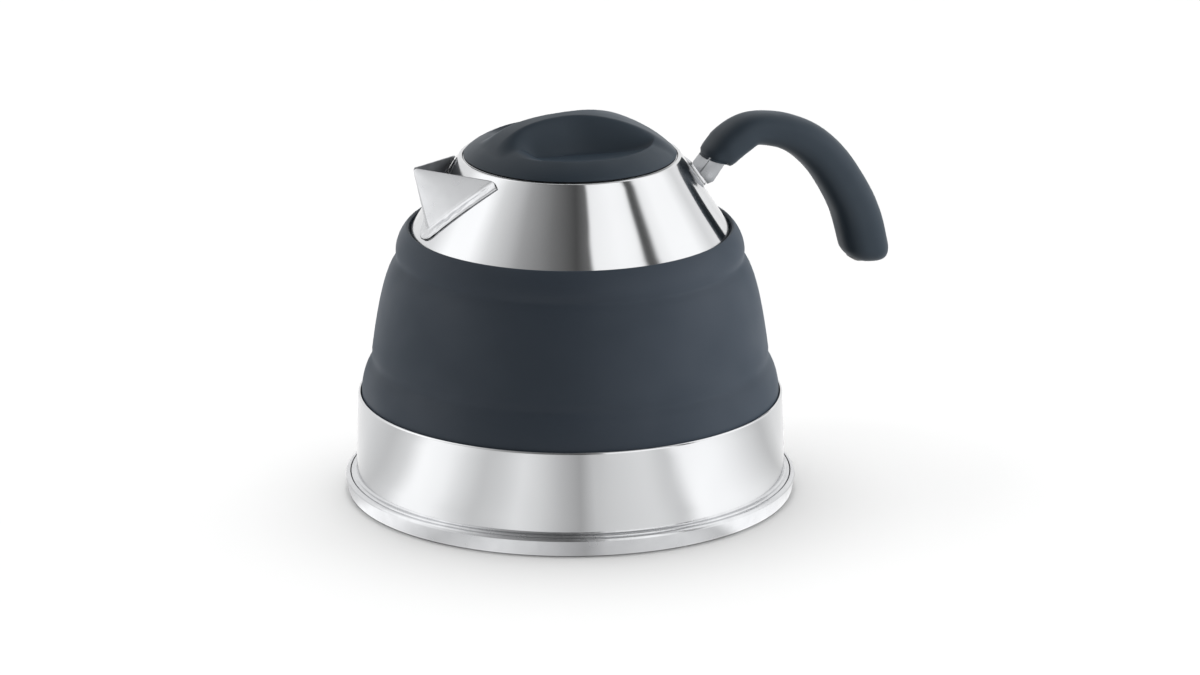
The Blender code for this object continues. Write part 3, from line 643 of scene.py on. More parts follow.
def turned_sheet(name: str, outline: Outline, sheet: float, edge: float = CUT_EDGE) -> Piece:
    """Turn a sheet from its outer line.

    Args:
        name: The piece's name.
        outline: Its outer line, with the metal on its left.
        sheet: Its thickness.
        edge: Radius on its cut edges.

    Returns:
        The new object.
    """
    return thicken(turned(name, outline, closed=False), sheet, edge)


def face_outwards(bm: Mesh, outline: Outline) -> None:
    """Turn the faces of a turned sheet to the right-hand side of its outline."""
    start, end = Vector(outline.points[-2]), Vector(outline.points[-1])
    middle, way = (start + end) / 2, end - start
    wanted = Vector((way.y, 0, -way.x))
    target = Vector((middle.x, 0, middle.y))
    nearest = min(bm.faces, key=lambda face: (face.calc_center_median() - target).length)
    if nearest.normal.dot(wanted) < 0:
        bmesh.ops.reverse_faces(bm, faces=bm.faces)


def surface(
    name: str, columns: int, rows: int, place: Callable[[float, float], Vector], flip: bool = False
) -> Piece:
    """Bend a flat grid into a sheet.

    Args:
        name: The piece's name.
        columns: Faces along the first share.
        rows: Faces along the second share.
        place: Gives the point for two shares from 0 to 1.
        flip: Whether the faces are turned round.

    Returns:
        The new object.
    """
    bm = bmesh.new()
    bmesh.ops.create_grid(bm, x_segments=columns, y_segments=rows, size=0.5)
    for vert in bm.verts:
        vert.co = place(vert.co.x + 0.5, vert.co.y + 0.5)
    bmesh.ops.remove_doubles(bm, verts=bm.verts, dist=WELD)
    if flip:
        bmesh.ops.reverse_faces(bm, faces=bm.faces)
    return new_object(name, bm)


def dress(piece: Piece, finish: Finish, slot: Slot, body: Body | None, *nodes: str) -> Piece:
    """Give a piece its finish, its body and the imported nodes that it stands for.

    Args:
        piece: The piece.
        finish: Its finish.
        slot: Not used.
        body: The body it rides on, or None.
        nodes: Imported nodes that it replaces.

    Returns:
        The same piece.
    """
    piece.data.materials.clear()
    piece.data.materials.append(finish.build())
    if body:
        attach(piece, body.value)
    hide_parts(*nodes)
    LOG.info("%s: %d faces, %s", piece.name, len(piece.data.polygons), finish.name)
    return piece


def redress(node: Piece, finish: Finish, slot: Slot) -> None:
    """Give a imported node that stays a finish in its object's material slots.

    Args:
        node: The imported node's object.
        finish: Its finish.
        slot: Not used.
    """
    if not node.material_slots:
        node.data.materials.append(None)
    for holder in node.material_slots:
        holder.link = "OBJECT"
        holder.material = finish.build()
    LOG.info("%s: packed node, %s", node.name, finish.name)


@dataclass
class Base:
    """Steel cap, aluminium disc and drawn pan, with the ring that holds the silicone's foot."""

    nodes: dict[str, Piece]
    radius: float = 0.1000
    height: float = 0.0086
    sheet: float = 0.0010
    taper: float = 0.0010
    foot_fillet: float = 0.0020
    lip_roll: float = 0.0017
    groove_radius: float = 0.0520
    groove_width: float = 0.0040
    groove_depth: float = 0.0005
    floor_height: float = 0.0068
    foot_round: float = 0.0010
    bead_roll: float = 0.0012
    wall_steps: tuple[float, ...] = (0.15, 0.4, 0.65, 0.88)
    ring_sheet: float = 0.0010
    ring_low: float = 0.0345
    ring_height: float = 0.0090
    ring_outer: float = 0.0906

    def cap(self) -> Piece:
        """Turn the cap under the base, with its pressed groove and rolled lip."""
        inner = self.groove_radius - self.groove_width / 2
        outer = self.groove_radius + self.groove_width / 2
        depth = self.groove_depth
        foot = (self.radius - self.taper - self.foot_fillet, self.foot_fillet)
        lip = (self.radius - self.lip_roll, self.height - self.lip_roll)
        soft_step = ((0.5, 0), (0.5, 1))
        line = Outline().to(0, 0).to(inner / 2, 0).to(inner - depth, 0)
        line.curve((inner + depth, depth), soft_step, 5)
        line.to(outer - depth, depth).curve((outer + depth, 0), soft_step, 5)
        line.arc(foot, self.foot_fillet, 270, 357, 7).arc(lip, self.lip_roll, 0, 96, 9)
        return turned_sheet("base_cap_fine", line, self.sheet)

    def pan(self) -> Piece:
        """Turn the pan: floor, bead, wall and the rim that is rolled in on the silicone."""
        foot, roll = LEVELS.pan_foot_radius, LEVELS.rim_roll
        bead = (foot + self.foot_round + LEVELS.gap, self.floor_height + self.bead_roll)
        hollow = (foot + self.foot_round, bead[1] + self.bead_roll + self.foot_round)
        rim = (LEVELS.pan_rim_radius - roll, LEVELS.pan_rim_height - roll)
        line = Outline().to(0, self.floor_height).to(foot / 2, self.floor_height)
        line.arc(bead, self.bead_roll, 270, 450, 12).arc(hollow, self.foot_round, 270, 182, 8)
        start = Vector(line.points[-1])
        end = Vector((rim[0] + roll, rim[1]))
        for share in self.wall_steps:
            line.to(*start.lerp(end, share))
        line.arc(rim, roll, 0, 95, 8)
        return turned_sheet("base_pan_fine", line, LEVELS.pan_sheet)

    def ring(self) -> Piece:
        """Turn the band that presses the silicone against the pan."""
        bend = 2 * self.ring_sheet
        top = self.ring_low + self.ring_height - bend
        line = Outline().to(self.ring_outer, self.ring_low).to(self.ring_outer, top - bend)
        line.arc((self.ring_outer - bend, top), bend, 0, 90, 6)
        return turned_sheet("lower_retaining_ring_fine", line, self.ring_sheet)

    def build(self) -> None:
        """Make and dress the base's pieces."""
        dress(self.cap(), BUFFED_STEEL, Slot.POLISHED, Body.BASE, "base_cap")
        pan = dress(self.pan(), DRAWN_STEEL, Slot.POLISHED, Body.BASE, "base_pan")
        pan.data.materials.append(BUFFED_STEEL.build())
        low = self.floor_height + 2 * self.bead_roll + self.foot_round
        for face in pan.data.polygons:
            face.material_index = 0 if face.center.z > low else 1
        dress(self.ring(), SATIN_STEEL, Slot.SATIN, Body.BASE, "lower_retaining_ring")
        redress(self.nodes["heat_disc"], ALUMINIUM, Slot.ALUMINIUM)


@dataclass
class SiliconeWall:
    """One moulding: three bands between a lip on the collar and a foot tucked in the pan."""

    thickness: float = 0.0022
    hinge_depth: float = 0.0010
    hinge_width: float = 0.0020
    hinge_soft_reach: float = 0.0032
    hinge_soft_passes: int = 9
    lip_stand: float = 0.0005
    lip_round: float = 0.0009
    lip_end: float = 75.0
    tuck: float = 0.0155
    lower_bead_thickness: float = 0.0042
    lower_bead_height: float = 0.0040
    top_shares: tuple[Point, Point] = ((0.64, 0.24), (1.05, 0.62))
    middle_shares: tuple[Point, Point] = ((0.475, 0.147), (0.75, 0.51))
    lower_shares: tuple[Point, Point] = ((0.60, 0.24), (0.98, 0.62))

    def hinge(self, line: Outline, radius: float, height: float) -> None:
        """Sink a hinge groove in the outer line, which has come to the groove's upper edge.

        Args:
            line: The outer line.
            radius: Radius of the groove's edges.
            height: Height of its middle.
        """
        half, depth = self.hinge_width / 2, self.hinge_depth
        for sunk, up in ((depth / 2, half / 2), (depth, 0), (depth / 2, -half / 2), (0, -half)):
            line.to(radius - sunk, height + up)

    def outer_line(self) -> Outline:
        """Draw the outer face, from the lip down to the tucked foot."""
        at = LEVELS
        lean = math.degrees(at.angle)
        lip_height = at.cone_foot_height + self.lip_stand - self.lip_round
        lip_out = (self.lip_round + at.gap) / math.cos(at.angle)
        lip_centre = (at.cone_radius(lip_height) + lip_out, lip_height)
        tuck_radius = at.pan_rim_radius - at.pan_sheet - at.gap
        rim_radius = at.pan_rim_radius - at.rim_roll - at.pan_sheet / 2 - at.gap
        half = self.hinge_width / 2
        line = Outline().arc(at.bend_centre, at.cone_foot_bend + at.gap, 0, lean, 5)
        line.arc(lip_centre, self.lip_round, 180 + lean, self.lip_end, 12)
        line.curve((at.upper_hinge_radius, at.upper_hinge_height + half), self.top_shares, 22)
        self.hinge(line, at.upper_hinge_radius, at.upper_hinge_height)
        line.curve((at.lower_hinge_radius, at.lower_hinge_height + half), self.middle_shares, 48)
        self.hinge(line, at.lower_hinge_radius, at.lower_hinge_height)
        line.curve((rim_radius, at.pan_rim_height + at.gap), self.lower_shares, 20)
        line.to(rim_radius, at.pan_rim_height - at.rim_roll - at.pan_sheet)
        line.to(tuck_radius, at.pan_rim_height - 2 * at.rim_roll - at.pan_sheet)
        return line.to(tuck_radius, at.pan_rim_height - self.tuck)

    def section(self) -> Outline:
        """Close the outer face with the inner one and its two beads."""
        line = self.outer_line()
        foot = line.points[-1]
        bead_top = foot[1] + self.lower_bead_height
        bead_low = LEVELS.cone_foot_height - LEVELS.bead_drop
        inner = []
        for before, here, after in zip(line.points, line.points[1:], line.points[2:]):
            way = (Vector(after) - Vector(before)).normalized()
            place = Vector(here) + Vector((way.y, -way.x)) * self.thickness
            if bead_top < place.y < bead_low - LEVELS.gap:
                inner.append((place.x, place.y))
        inner.sort(key=lambda point: point[1])
        bead = foot[0] - self.lower_bead_thickness
        line.to(bead, foot[1]).to(bead, bead_top).to(foot[0] - self.thickness, bead_top)
        line.points += inner
        line.to(inner[-1][0], bead_low)
        return line.to(LEVELS.flange_radius + LEVELS.gap, bead_low)

    def build(self) -> None:
        """Make the wall between the base and the collar, on no body."""
        low, high = LEVELS.lower_hinge_height, LEVELS.upper_hinge_height
        softs = [Soft(at, self.hinge_soft_reach, self.hinge_soft_passes) for at in (high, low)]
        wall = turned("silicone_wall_fine", self.section(), softs=softs)
        dress(wall, SILICONE, Slot.SILICONE, None, "silicone_wall")
        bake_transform(wall)


@dataclass
class Spout:
    """A folded V of sheet: two panels that meet in a keel, and a flange welded to the cone."""

    sheet: float = 0.0006
    overhang: float = 0.0244
    tip_rise: float = 0.0023
    foot_rise: float = 0.0061
    top_drop: float = 0.0009
    half_width: float = 0.0220
    foot_fillet: float = 0.0024
    fillet_share: float = 0.22
    flange: float = 0.0056
    flange_share: float = 0.30
    fold_round: float = 0.0011
    fold_share: float = 0.42
    tip_share: float = 0.96
    crown: float = 0.00018
    crown_end: float = 1.15
    crown_power: float = 0.7
    edge_share: float = 0.24
    edge_drop: float = 0.00050
    weld_stretch: float = 1.05
    weld_pitch: float = 0.0058
    weld_depth: float = 0.00028
    weld_radius: float = 0.0013
    weld_stray: float = 0.0007
    window_inset: float = 0.0016
    cutter_out: float = 0.003
    cutter_depth: float = 0.006

    @property
    def rise(self) -> float:
        """Length of the V up the cone."""
        height = LEVELS.cone_top_height - self.top_drop
        return (height - LEVELS.cone_foot_height - self.foot_rise) / math.cos(LEVELS.angle)

    @property
    def tip(self) -> Vector:
        """The pouring point."""
        reach = LEVELS.cone_top_radius + self.overhang
        return Vector((-reach, 0, LEVELS.cone_top_height + self.tip_rise))

    def line(self, share: float, offset: float) -> Point:
        """Follow the V from one top corner round its foot to the other.

        Args:
            share: 0 at one top corner, 0.5 at the foot, 1 at the other.
            offset: Distance outwards from the fold line.

        Returns:
            Distance across, and distance up the cone from the foot.
        """
        lean = math.atan2(self.half_width, self.rise)
        radius = self.foot_fillet + offset
        bend = math.pi / 2 - lean
        along = abs(share - 0.5) * 2
        side = math.copysign(1, share - 0.5)
        turn = bend * min(along / self.fillet_share, 1)
        start = (radius * math.sin(turn), self.foot_fillet - radius * math.cos(turn))
        if along < self.fillet_share:
            return (side * start[0], start[1])
        whole = (self.rise - self.foot_fillet * (1 - math.cos(bend))) / math.cos(lean)
        run = whole * (along - self.fillet_share) / (1 - self.fillet_share)
        return (side * (start[0] + run * math.sin(lean)), start[1] + run * math.cos(lean))

    def on_cone(self, across: float, up: float, out: float) -> Vector:
        """Find a point on the cone from the V's foot.

        Args:
            across: Distance across from the V's middle.
            up: Distance up the cone from the foot.
            out: Distance off the cone.

        Returns:
            The point.
        """
        height = LEVELS.cone_foot_height + self.foot_rise + up * math.cos(LEVELS.angle)
        return LEVELS.on_cone(across, height, out, Side.SPOUT)

    def weld(self, along: float, across: float) -> float:
        """Depth of the spot welds at a point of the flange, no two of them alike.

        Args:
            along: Share along the V.
            across: Distance from the flange's middle line.

        Returns:
            The depth.
        """
        run = (along - 0.5) * 2 * math.hypot(self.rise, self.half_width) * self.weld_stretch
        number = round(run / self.weld_pitch)
        stray = self.weld_stray * math.sin(number * 2.3)
        away = math.hypot(run - number * self.weld_pitch, across + stray)
        depth = self.weld_depth * (0.75 + 0.25 * math.sin(number * 1.7))
        return depth * math.exp(-((away / self.weld_radius) ** 2))

    def place(self, along: float, across: float) -> Vector:
        """Give the sheet's outer face: flange, rounded fold, then the panel to the tip.

        Args:
            along: Share along the V.
            across: Share from the flange's edge to the tip.

        Returns:
            The point.
        """
        top = LEVELS.gap + self.sheet
        if across < self.flange_share:
            share = across / self.flange_share
            wide = self.flange - self.sheet - self.fold_round
            lift = self.crown * math.sin(math.pi * min(share * self.crown_end, 1)) ** self.crown_power
            lift -= self.weld(along, (share - 0.5) * wide)
            lift -= self.edge_drop * (1 - min(share / self.edge_share, 1)) ** 2
            return self.on_cone(*self.line(along, self.flange - wide * share), top + lift)
        fold = self.on_cone(*self.line(along, self.sheet), top)
        near_panel = fold + (self.tip - fold).normalized() * self.fold_round
        if across < self.fold_share:
            near_flange = self.on_cone(*self.line(along, self.sheet + self.fold_round), top)
            t = (across - self.flange_share) / (self.fold_share - self.flange_share)
            return near_flange * (1 - t) ** 2 + fold * 2 * t * (1 - t) + near_panel * t**2
        share = (across - self.fold_share) / (1 - self.fold_share)
        return near_panel.lerp(self.tip, share * self.tip_share)

    def window(self) -> Piece:
        """Make the cutter for the hole behind the spout."""
        limit = self.rise - self.window_inset

        def place(along: float, across: float) -> Vector:
            """Give the cutter's face, from the V's inner line to its middle."""
            width, up = self.line(along, -self.window_inset)
            up = min(up + (limit - up) * across, limit)
            return self.on_cone(width * (1 - across), up, self.cutter_out)

        return thicken(surface("spout_window_cutter", 64, 10, place), self.cutter_depth)

    def build(self) -> None:
        """Make and dress the spout, polished outside, with a darker grey inside as painted shade."""
        piece = thicken(surface("spout_fine", 240, 60, self.place, flip=True), self.sheet, 0.00015)
        dress(piece, BUFFED_STEEL, Slot.POLISHED, Body.COLLAR, "spout")
        # The inner faces off the cone take the darker steel: painted shade inside the V.
        piece.data.materials.append(PICKLED_STEEL.build())
        for face in piece.data.polygons:
            place = face.center
            off_cone = place.xy.length - LEVELS.cone_radius(place.z) > 3 * self.sheet
            inside = face.normal.y * place.y < 0
            face.material_index = 1 if inside and off_cone else 0


@dataclass
class Collar:
    """Steel cone with its turned-down foot, the ring inside it and the rolled mouth."""

    spout: Spout
    flange_height: float = 0.0077
    wall_steps: int = 12
    ring_sheet: float = 0.0008
    ring_hem: float = 0.0039
    mouth_sheet: float = 0.0005
    neck_height: float = 0.0051
    leg_height: float = 0.0017
    mouth_roll: float = 0.0006
    brim_bend: float = 0.0009
    brim_step: float = 8.0
    brim_inner: float = 0.0476

    def cone(self) -> Piece:
        """Turn the cone, with its foot and its brim, and cut the window behind the spout."""
        at = LEVELS
        lean = math.degrees(at.angle)
        low = at.cone_foot_height - self.flange_height
        line = Outline().to(at.flange_radius, low)
        line.to(at.flange_radius, (low + at.bend_centre[1]) / 2)
        line.arc(at.bend_centre, at.cone_foot_bend, 0, lean, 6)
        start = Vector(line.points[-1])
        middle = at.mouth_top - self.brim_bend
        height = middle + self.brim_bend * math.sin(at.angle)
        end = Vector((at.cone_radius(height), height))
        for step in range(1, self.wall_steps + 1):
            line.to(*start.lerp(end, step / self.wall_steps))
        centre = (end.x - self.brim_bend * math.cos(at.angle), middle)
        line.arc(centre, self.brim_bend, lean + self.brim_step, 90, 7)
        line.to(self.brim_inner, at.mouth_top)
        piece = turned_sheet("collar_cone_fine", line, at.cone_sheet, edge=0.0)
        return cut_out(piece, self.spout.window())

    def ring(self) -> Piece:
        """Turn the ring that holds the silicone's bead inside the collar's foot."""
        sheet = self.ring_sheet
        outer = LEVELS.flange_radius - LEVELS.cone_sheet - LEVELS.gap
        hem = LEVELS.cone_foot_height - LEVELS.bead_drop - LEVELS.gap
        top = LEVELS.cone_foot_height - 2 * LEVELS.cone_sheet
        line = Outline().to(outer + self.ring_hem, hem)
        line.arc((outer + sheet, hem + sheet), sheet, 270, 180, 5).to(outer, top)
        return turned_sheet("upper_retaining_ring_fine", line, sheet)

    def mouth(self) -> Piece:
        """Turn the rolled ring that lines the mouth."""
        roll = self.mouth_roll
        outer = LEVELS.neck_radius + 2 * roll
        top = LEVELS.mouth_top - roll
        line = Outline().to(outer + self.leg_height * LEVELS.slope, top - self.leg_height)
        line.arc((outer - roll, top), roll, 0, 180, 14)
        line.to(LEVELS.neck_radius, top - self.neck_height)
        return turned_sheet("mouth_ring_fine", line, self.mouth_sheet, edge=0.0)

    def build(self) -> None:
        """Make and dress the collar's pieces."""
        dress(self.cone(), DRAWN_STEEL, Slot.POLISHED, Body.COLLAR, "collar_cone")
        dress(self.ring(), SATIN_STEEL, Slot.SATIN, Body.COLLAR, "upper_retaining_ring")
        dress(self.mouth(), BUFFED_STEEL, Slot.POLISHED, Body.COLLAR, "mouth_ring")


@dataclass
class Handle:
    """Mount plate, folded bracket and the soft grip that hooks out over the body."""

    nodes: dict[str, Piece]
    bracket_drop: float = 0.0125
    bracket_sheet: float = 0.0010
    bracket_half_width: float = 0.0060
    bracket_half_depth: float = 0.0040
    bracket_round: float = 0.0013
    base_back: float = -0.0006
    base_front: float = -0.0074
    top_back: float = 0.0040
    top_front: float = 0.0036
    lip: float = 0.0018
    plate_sheet: float = 0.0012
    plate_half_width: float = 0.0085
    plate_length: float = 0.0140
    plate_corner: float = 0.0025
    mouth_stand: float = 0.0117
    mouth_drop: float = 0.0019
    mouth_tilt: float = 19.0
    reach: float = 0.0740
    drop: float = 0.0659
    thickness: float = 0.0222
    width: float = 0.0220
    end_round: float = 0.0080
    end_power: float = 0.6
    end_turn: float = 88.0
    end_rings: int = 11
    end_slant: float = 0.30
    end_run: float = 0.0200
    skin: float = 0.0016
    pocket: float = 0.0030
    side_power: float = 0.8
    mouth_round: float = 0.0006
    back_round: float = 1.7
    belly: float = 0.0010
    belly_place: float = 0.0030
    mouth_fit: Point = (0.976, 0.91)
    faces_round: int = 56
    rings_between: int = 7
    # The grip's middle line from its mouth: shares of its reach out and of its drop up, then shares
    # of its thickness and of its width.
    stations: tuple[tuple[float, float, float, float], ...] = (
        (0.068, 0.067, 0.695, 0.88),
        (0.165, 0.138, 0.705, 0.89),
        (0.248, 0.174, 0.650, 0.86),
        (0.353, 0.166, 0.675, 0.85),
        (0.484, 0.124, 0.720, 0.88),
        (0.626, 0.029, 0.810, 0.92),
        (0.757, -0.124, 0.860, 0.96),
        (0.882, -0.352, 0.900, 1.00),
        (0.946, -0.527, 0.945, 1.00),
        (0.990, -0.718, 0.985, 1.00),
    )

    @property
    def bracket_height(self) -> float:
        """Height of the bracket's middle on the cone."""
        return LEVELS.cone_top_height - self.bracket_drop

    def frame(self, up: float, out: float) -> Vector:
        """Find a point in the handle's plane.

        Args:
            up: Distance up the cone from the bracket's middle.
            out: Distance off the cone.

        Returns:
            The point.
        """
        turn = LEVELS.angle
        middle = LEVELS.on_cone(0, self.bracket_height, 0, Side.HANDLE)
        upward = Vector((-math.sin(turn), 0, math.cos(turn)))
        return middle + upward * up + Vector((math.cos(turn), 0, math.sin(turn))) * out

    def mouth(self) -> tuple[Vector, Vector, Vector]:
        """Give the grip's mouth: its middle, the way out of it, and the way back across it."""
        tilt = math.radians(self.mouth_tilt)
        along = Vector((math.sin(tilt), 0, math.cos(tilt)))
        back = Vector((-math.cos(tilt), 0, math.sin(tilt)))
        return self.frame(-self.mouth_drop, self.mouth_stand), along, back

    def plate(self) -> Piece:
        """Bend the mount plate onto the cone, with round corners."""
        half_length = self.plate_length / 2
        corner = self.plate_corner

        def place(along: float, across: float) -> Vector:
            """Give the plate's outer face, from corner to corner."""
            up = (along * 2 - 1) * half_length
            past = max(abs(up) - half_length + corner, 0)
            half = self.plate_half_width - corner + math.sqrt(max(corner**2 - past**2, 0))
            height = self.bracket_height + up * math.cos(LEVELS.angle)
            out = LEVELS.gap + self.plate_sheet
            return LEVELS.on_cone((across * 2 - 1) * half, height, out, Side.HANDLE)

        piece = surface("handle_mount_plate_fine", 28, 16, place, flip=True)
        return thicken(piece, self.plate_sheet, 0.00025)

    def bracket(self) -> Piece:
        """Fold the gusset: two cheeks, and a web between them at the back and at the front."""
        mouth, along, back = self.mouth()
        sheet = self.bracket_sheet
        seat = self.plate_sheet + 2 * LEVELS.gap
        top = mouth + along * self.pocket / 3
        upper_back = top + back * self.top_back
        upper_front = top - back * self.top_front
        base_back = self.frame(self.base_back, seat)
        base_front = self.frame(self.base_front, seat)
        toe = self.frame(self.base_front - sheet, seat + 3 * sheet)
        bend = mouth - back * self.top_front - along * sheet
        lip = bend - back * self.lip
        bm = bmesh.new()
        side = Vector((0, self.bracket_half_width, 0))
        corners = [base_back, base_front, toe, bend, lip, upper_front, upper_back]
        cheek = bm.faces.new([bm.verts.new(corner - side) for corner in corners])
        grown = bmesh.ops.extrude_face_region(bm, geom=[cheek])
        far = [g for g in grown["geom"] if isinstance(g, bmesh.types.BMVert)]
        bmesh.ops.translate(bm, verts=far, vec=side * 2)
        bmesh.ops.recalc_face_normals(bm, faces=bm.faces)
        ends = ((toe, bend), (bend, lip), (lip, upper_front), (base_back, upper_back))
        webs = [(low + high) / 2 for low, high in ends]
        open_sides = []
        for face in bm.faces:
            middle = face.calc_center_median()
            is_cheek = abs(face.normal.y) > 0.5
            if not is_cheek and min((middle - web).length for web in webs) > sheet:
                open_sides.append(face)
        bmesh.ops.delete(bm, geom=open_sides, context="FACES")
        piece = new_object("handle_bracket_fine", bm)
        soften(piece, self.bracket_round, 5, 30)
        return thicken(settle(piece), sheet, CUT_EDGE)

    def rings(self, skin: float) -> list[tuple[Vector, Vector, float, float]]:
        """Follow the grip's smooth middle line.

        Args:
            skin: How far the outline is drawn in.

        Returns:
            Rows of middle, way along, half thickness and half width.
        """
        mouth, along, _ = self.mouth()
        edge = LEVELS.gap + self.skin
        half_depth = self.bracket_half_depth / self.mouth_fit[0] + edge
        half_width = self.bracket_half_width / self.mouth_fit[1] + edge
        values = [Vector((mouth.x, mouth.z, half_depth, half_width))]
        for out, up, thick, wide in self.stations:
            place = mouth + Vector((out * self.reach, 0, up * self.drop))
            size = (thick * self.thickness / 2, wide * self.width / 2)
            values.append(Vector((place.x, place.z, *size)))
        step_in = (values[1] - values[0]).xy.length * 2
        lead = values[1] - Vector((along.x * step_in, along.z * step_in, 0, 0))
        values = [lead, *values, values[-1] * 2 - values[-2]]
        rows = []
        for index in range(1, len(values) - 2):
            a, b, c, d = values[index - 1 : index + 3]
            last = index == len(values) - 3
            for step in range(self.rings_between + (1 if last else 0)):
                t = step / self.rings_between
                spot = b * 2 + (c - a) * t + (a * 2 - b * 5 + c * 4 - d) * t**2
                spot = (spot + (b * 3 - a - c * 3 + d) * t**3) / 2
                slope = (c - a) + (a * 2 - b * 5 + c * 4 - d) * 2 * t
                slope += (b * 3 - a - c * 3 + d) * 3 * t**2
                way = Vector((slope.x, 0, slope.y)).normalized()
                middle = Vector((spot.x, 0, spot.y))
                rows.append((middle, way, spot.z - skin, spot.w - skin))
        last, way, thick, wide = rows[-1]
        depth = self.end_round - skin
        for step in range(1, self.end_rings + 1):
            turn = math.radians(self.end_turn * step / self.end_rings)
            size = math.cos(turn) ** self.end_power
            rows.append((last + way * depth * math.sin(turn), way, thick * size, wide * size))
        return rows

    def mouth_shape(self, away: float, high: float) -> Point:
        """Round the grip off towards its mouth, and fill out its belly there.

        Args:
            away: Distance from the mouth.
            high: Place across the grip, 1 on its back and -1 on its belly.

        Returns:
            What to add to the half width and to the half thickness.
        """
        side = -self.mouth_round * max(1 - away / (2 * self.mouth_round), 0) ** 2
        if high >= 0:
            return side, self.back_round * side
        place = away / self.belly_place
        return side, side + self.belly * place * math.exp((1 - place * place) / 2)

    def grip(self) -> Piece:
        """Bridge rings into the sleeve: outside, rolled mouth, and inside."""
        outer = self.rings(0.0)
        inner = self.rings(self.skin)
        mouth, way, thick, wide = outer[0]
        end = outer[-1][0]
        lip = []
        for angle in range(20, 180, 20):
            turn = math.radians(angle)
            drawn = self.skin / 2 * (1 - math.cos(turn))
            place = mouth - way * self.skin / 2 * math.sin(turn)
            lip.append((place, way, thick - drawn, wide - drawn))
        bm = bmesh.new()
        loops = []
        for middle, way, thick, wide in inner[::-1] + lip[::-1] + outer:
            made = bmesh.ops.create_circle(bm, radius=1.0, segments=self.faces_round)
            lift = way.cross(Vector((0, 1, 0)))
            away = (middle - mouth).length
            slant = self.end_slant * ease(1 - (middle - end).length / self.end_run)
            for vert in made["verts"]:
                across = math.copysign(abs(vert.co.x) ** self.side_power, vert.co.x)
                high = math.copysign(abs(vert.co.y) ** self.side_power, vert.co.y)
                fuller = self.mouth_shape(away, high)
                vert.co = middle + Vector((0, (wide + fuller[0]) * across, 0))
                vert.co += lift * (thick + fuller[1]) * high
                vert.co.z -= slant * thick * high
            loops.append(made["verts"])
        for low, high in zip(loops, loops[1:]):
            pair = (set(low), set(high))
            edges = {edge for vert in (*low, *high) for edge in vert.link_edges}
            kept = [edge for edge in edges if any(set(edge.verts) <= ring for ring in pair)]
            bmesh.ops.bridge_loops(bm, edges=kept)
        for loop in (loops[0], loops[-1]):
            bm.faces.new(loop)
        bmesh.ops.recalc_face_normals(bm, faces=bm.faces)
        return new_object("grip_sleeve_fine", bm)

    def build(self) -> None:
        """Make and dress the handle's pieces."""
        dress(self.plate(), BUFFED_STEEL, Slot.POLISHED, Body.COLLAR, "handle_mount_plate")
        # The bracket takes the darker steel: painted shade under the grip.
        dress(self.bracket(), TUMBLED_STEEL, Slot.POLISHED, Body.COLLAR, "handle_bracket")
        dress(self.grip(), SOFT_TOUCH, Slot.SOFT_TOUCH, Body.COLLAR, "grip_sleeve")
        redress(self.nodes["handle_tang"], SATIN_STEEL, Slot.SATIN)
        redress(self.nodes["grip_core"], NYLON, Slot.PLASTIC)


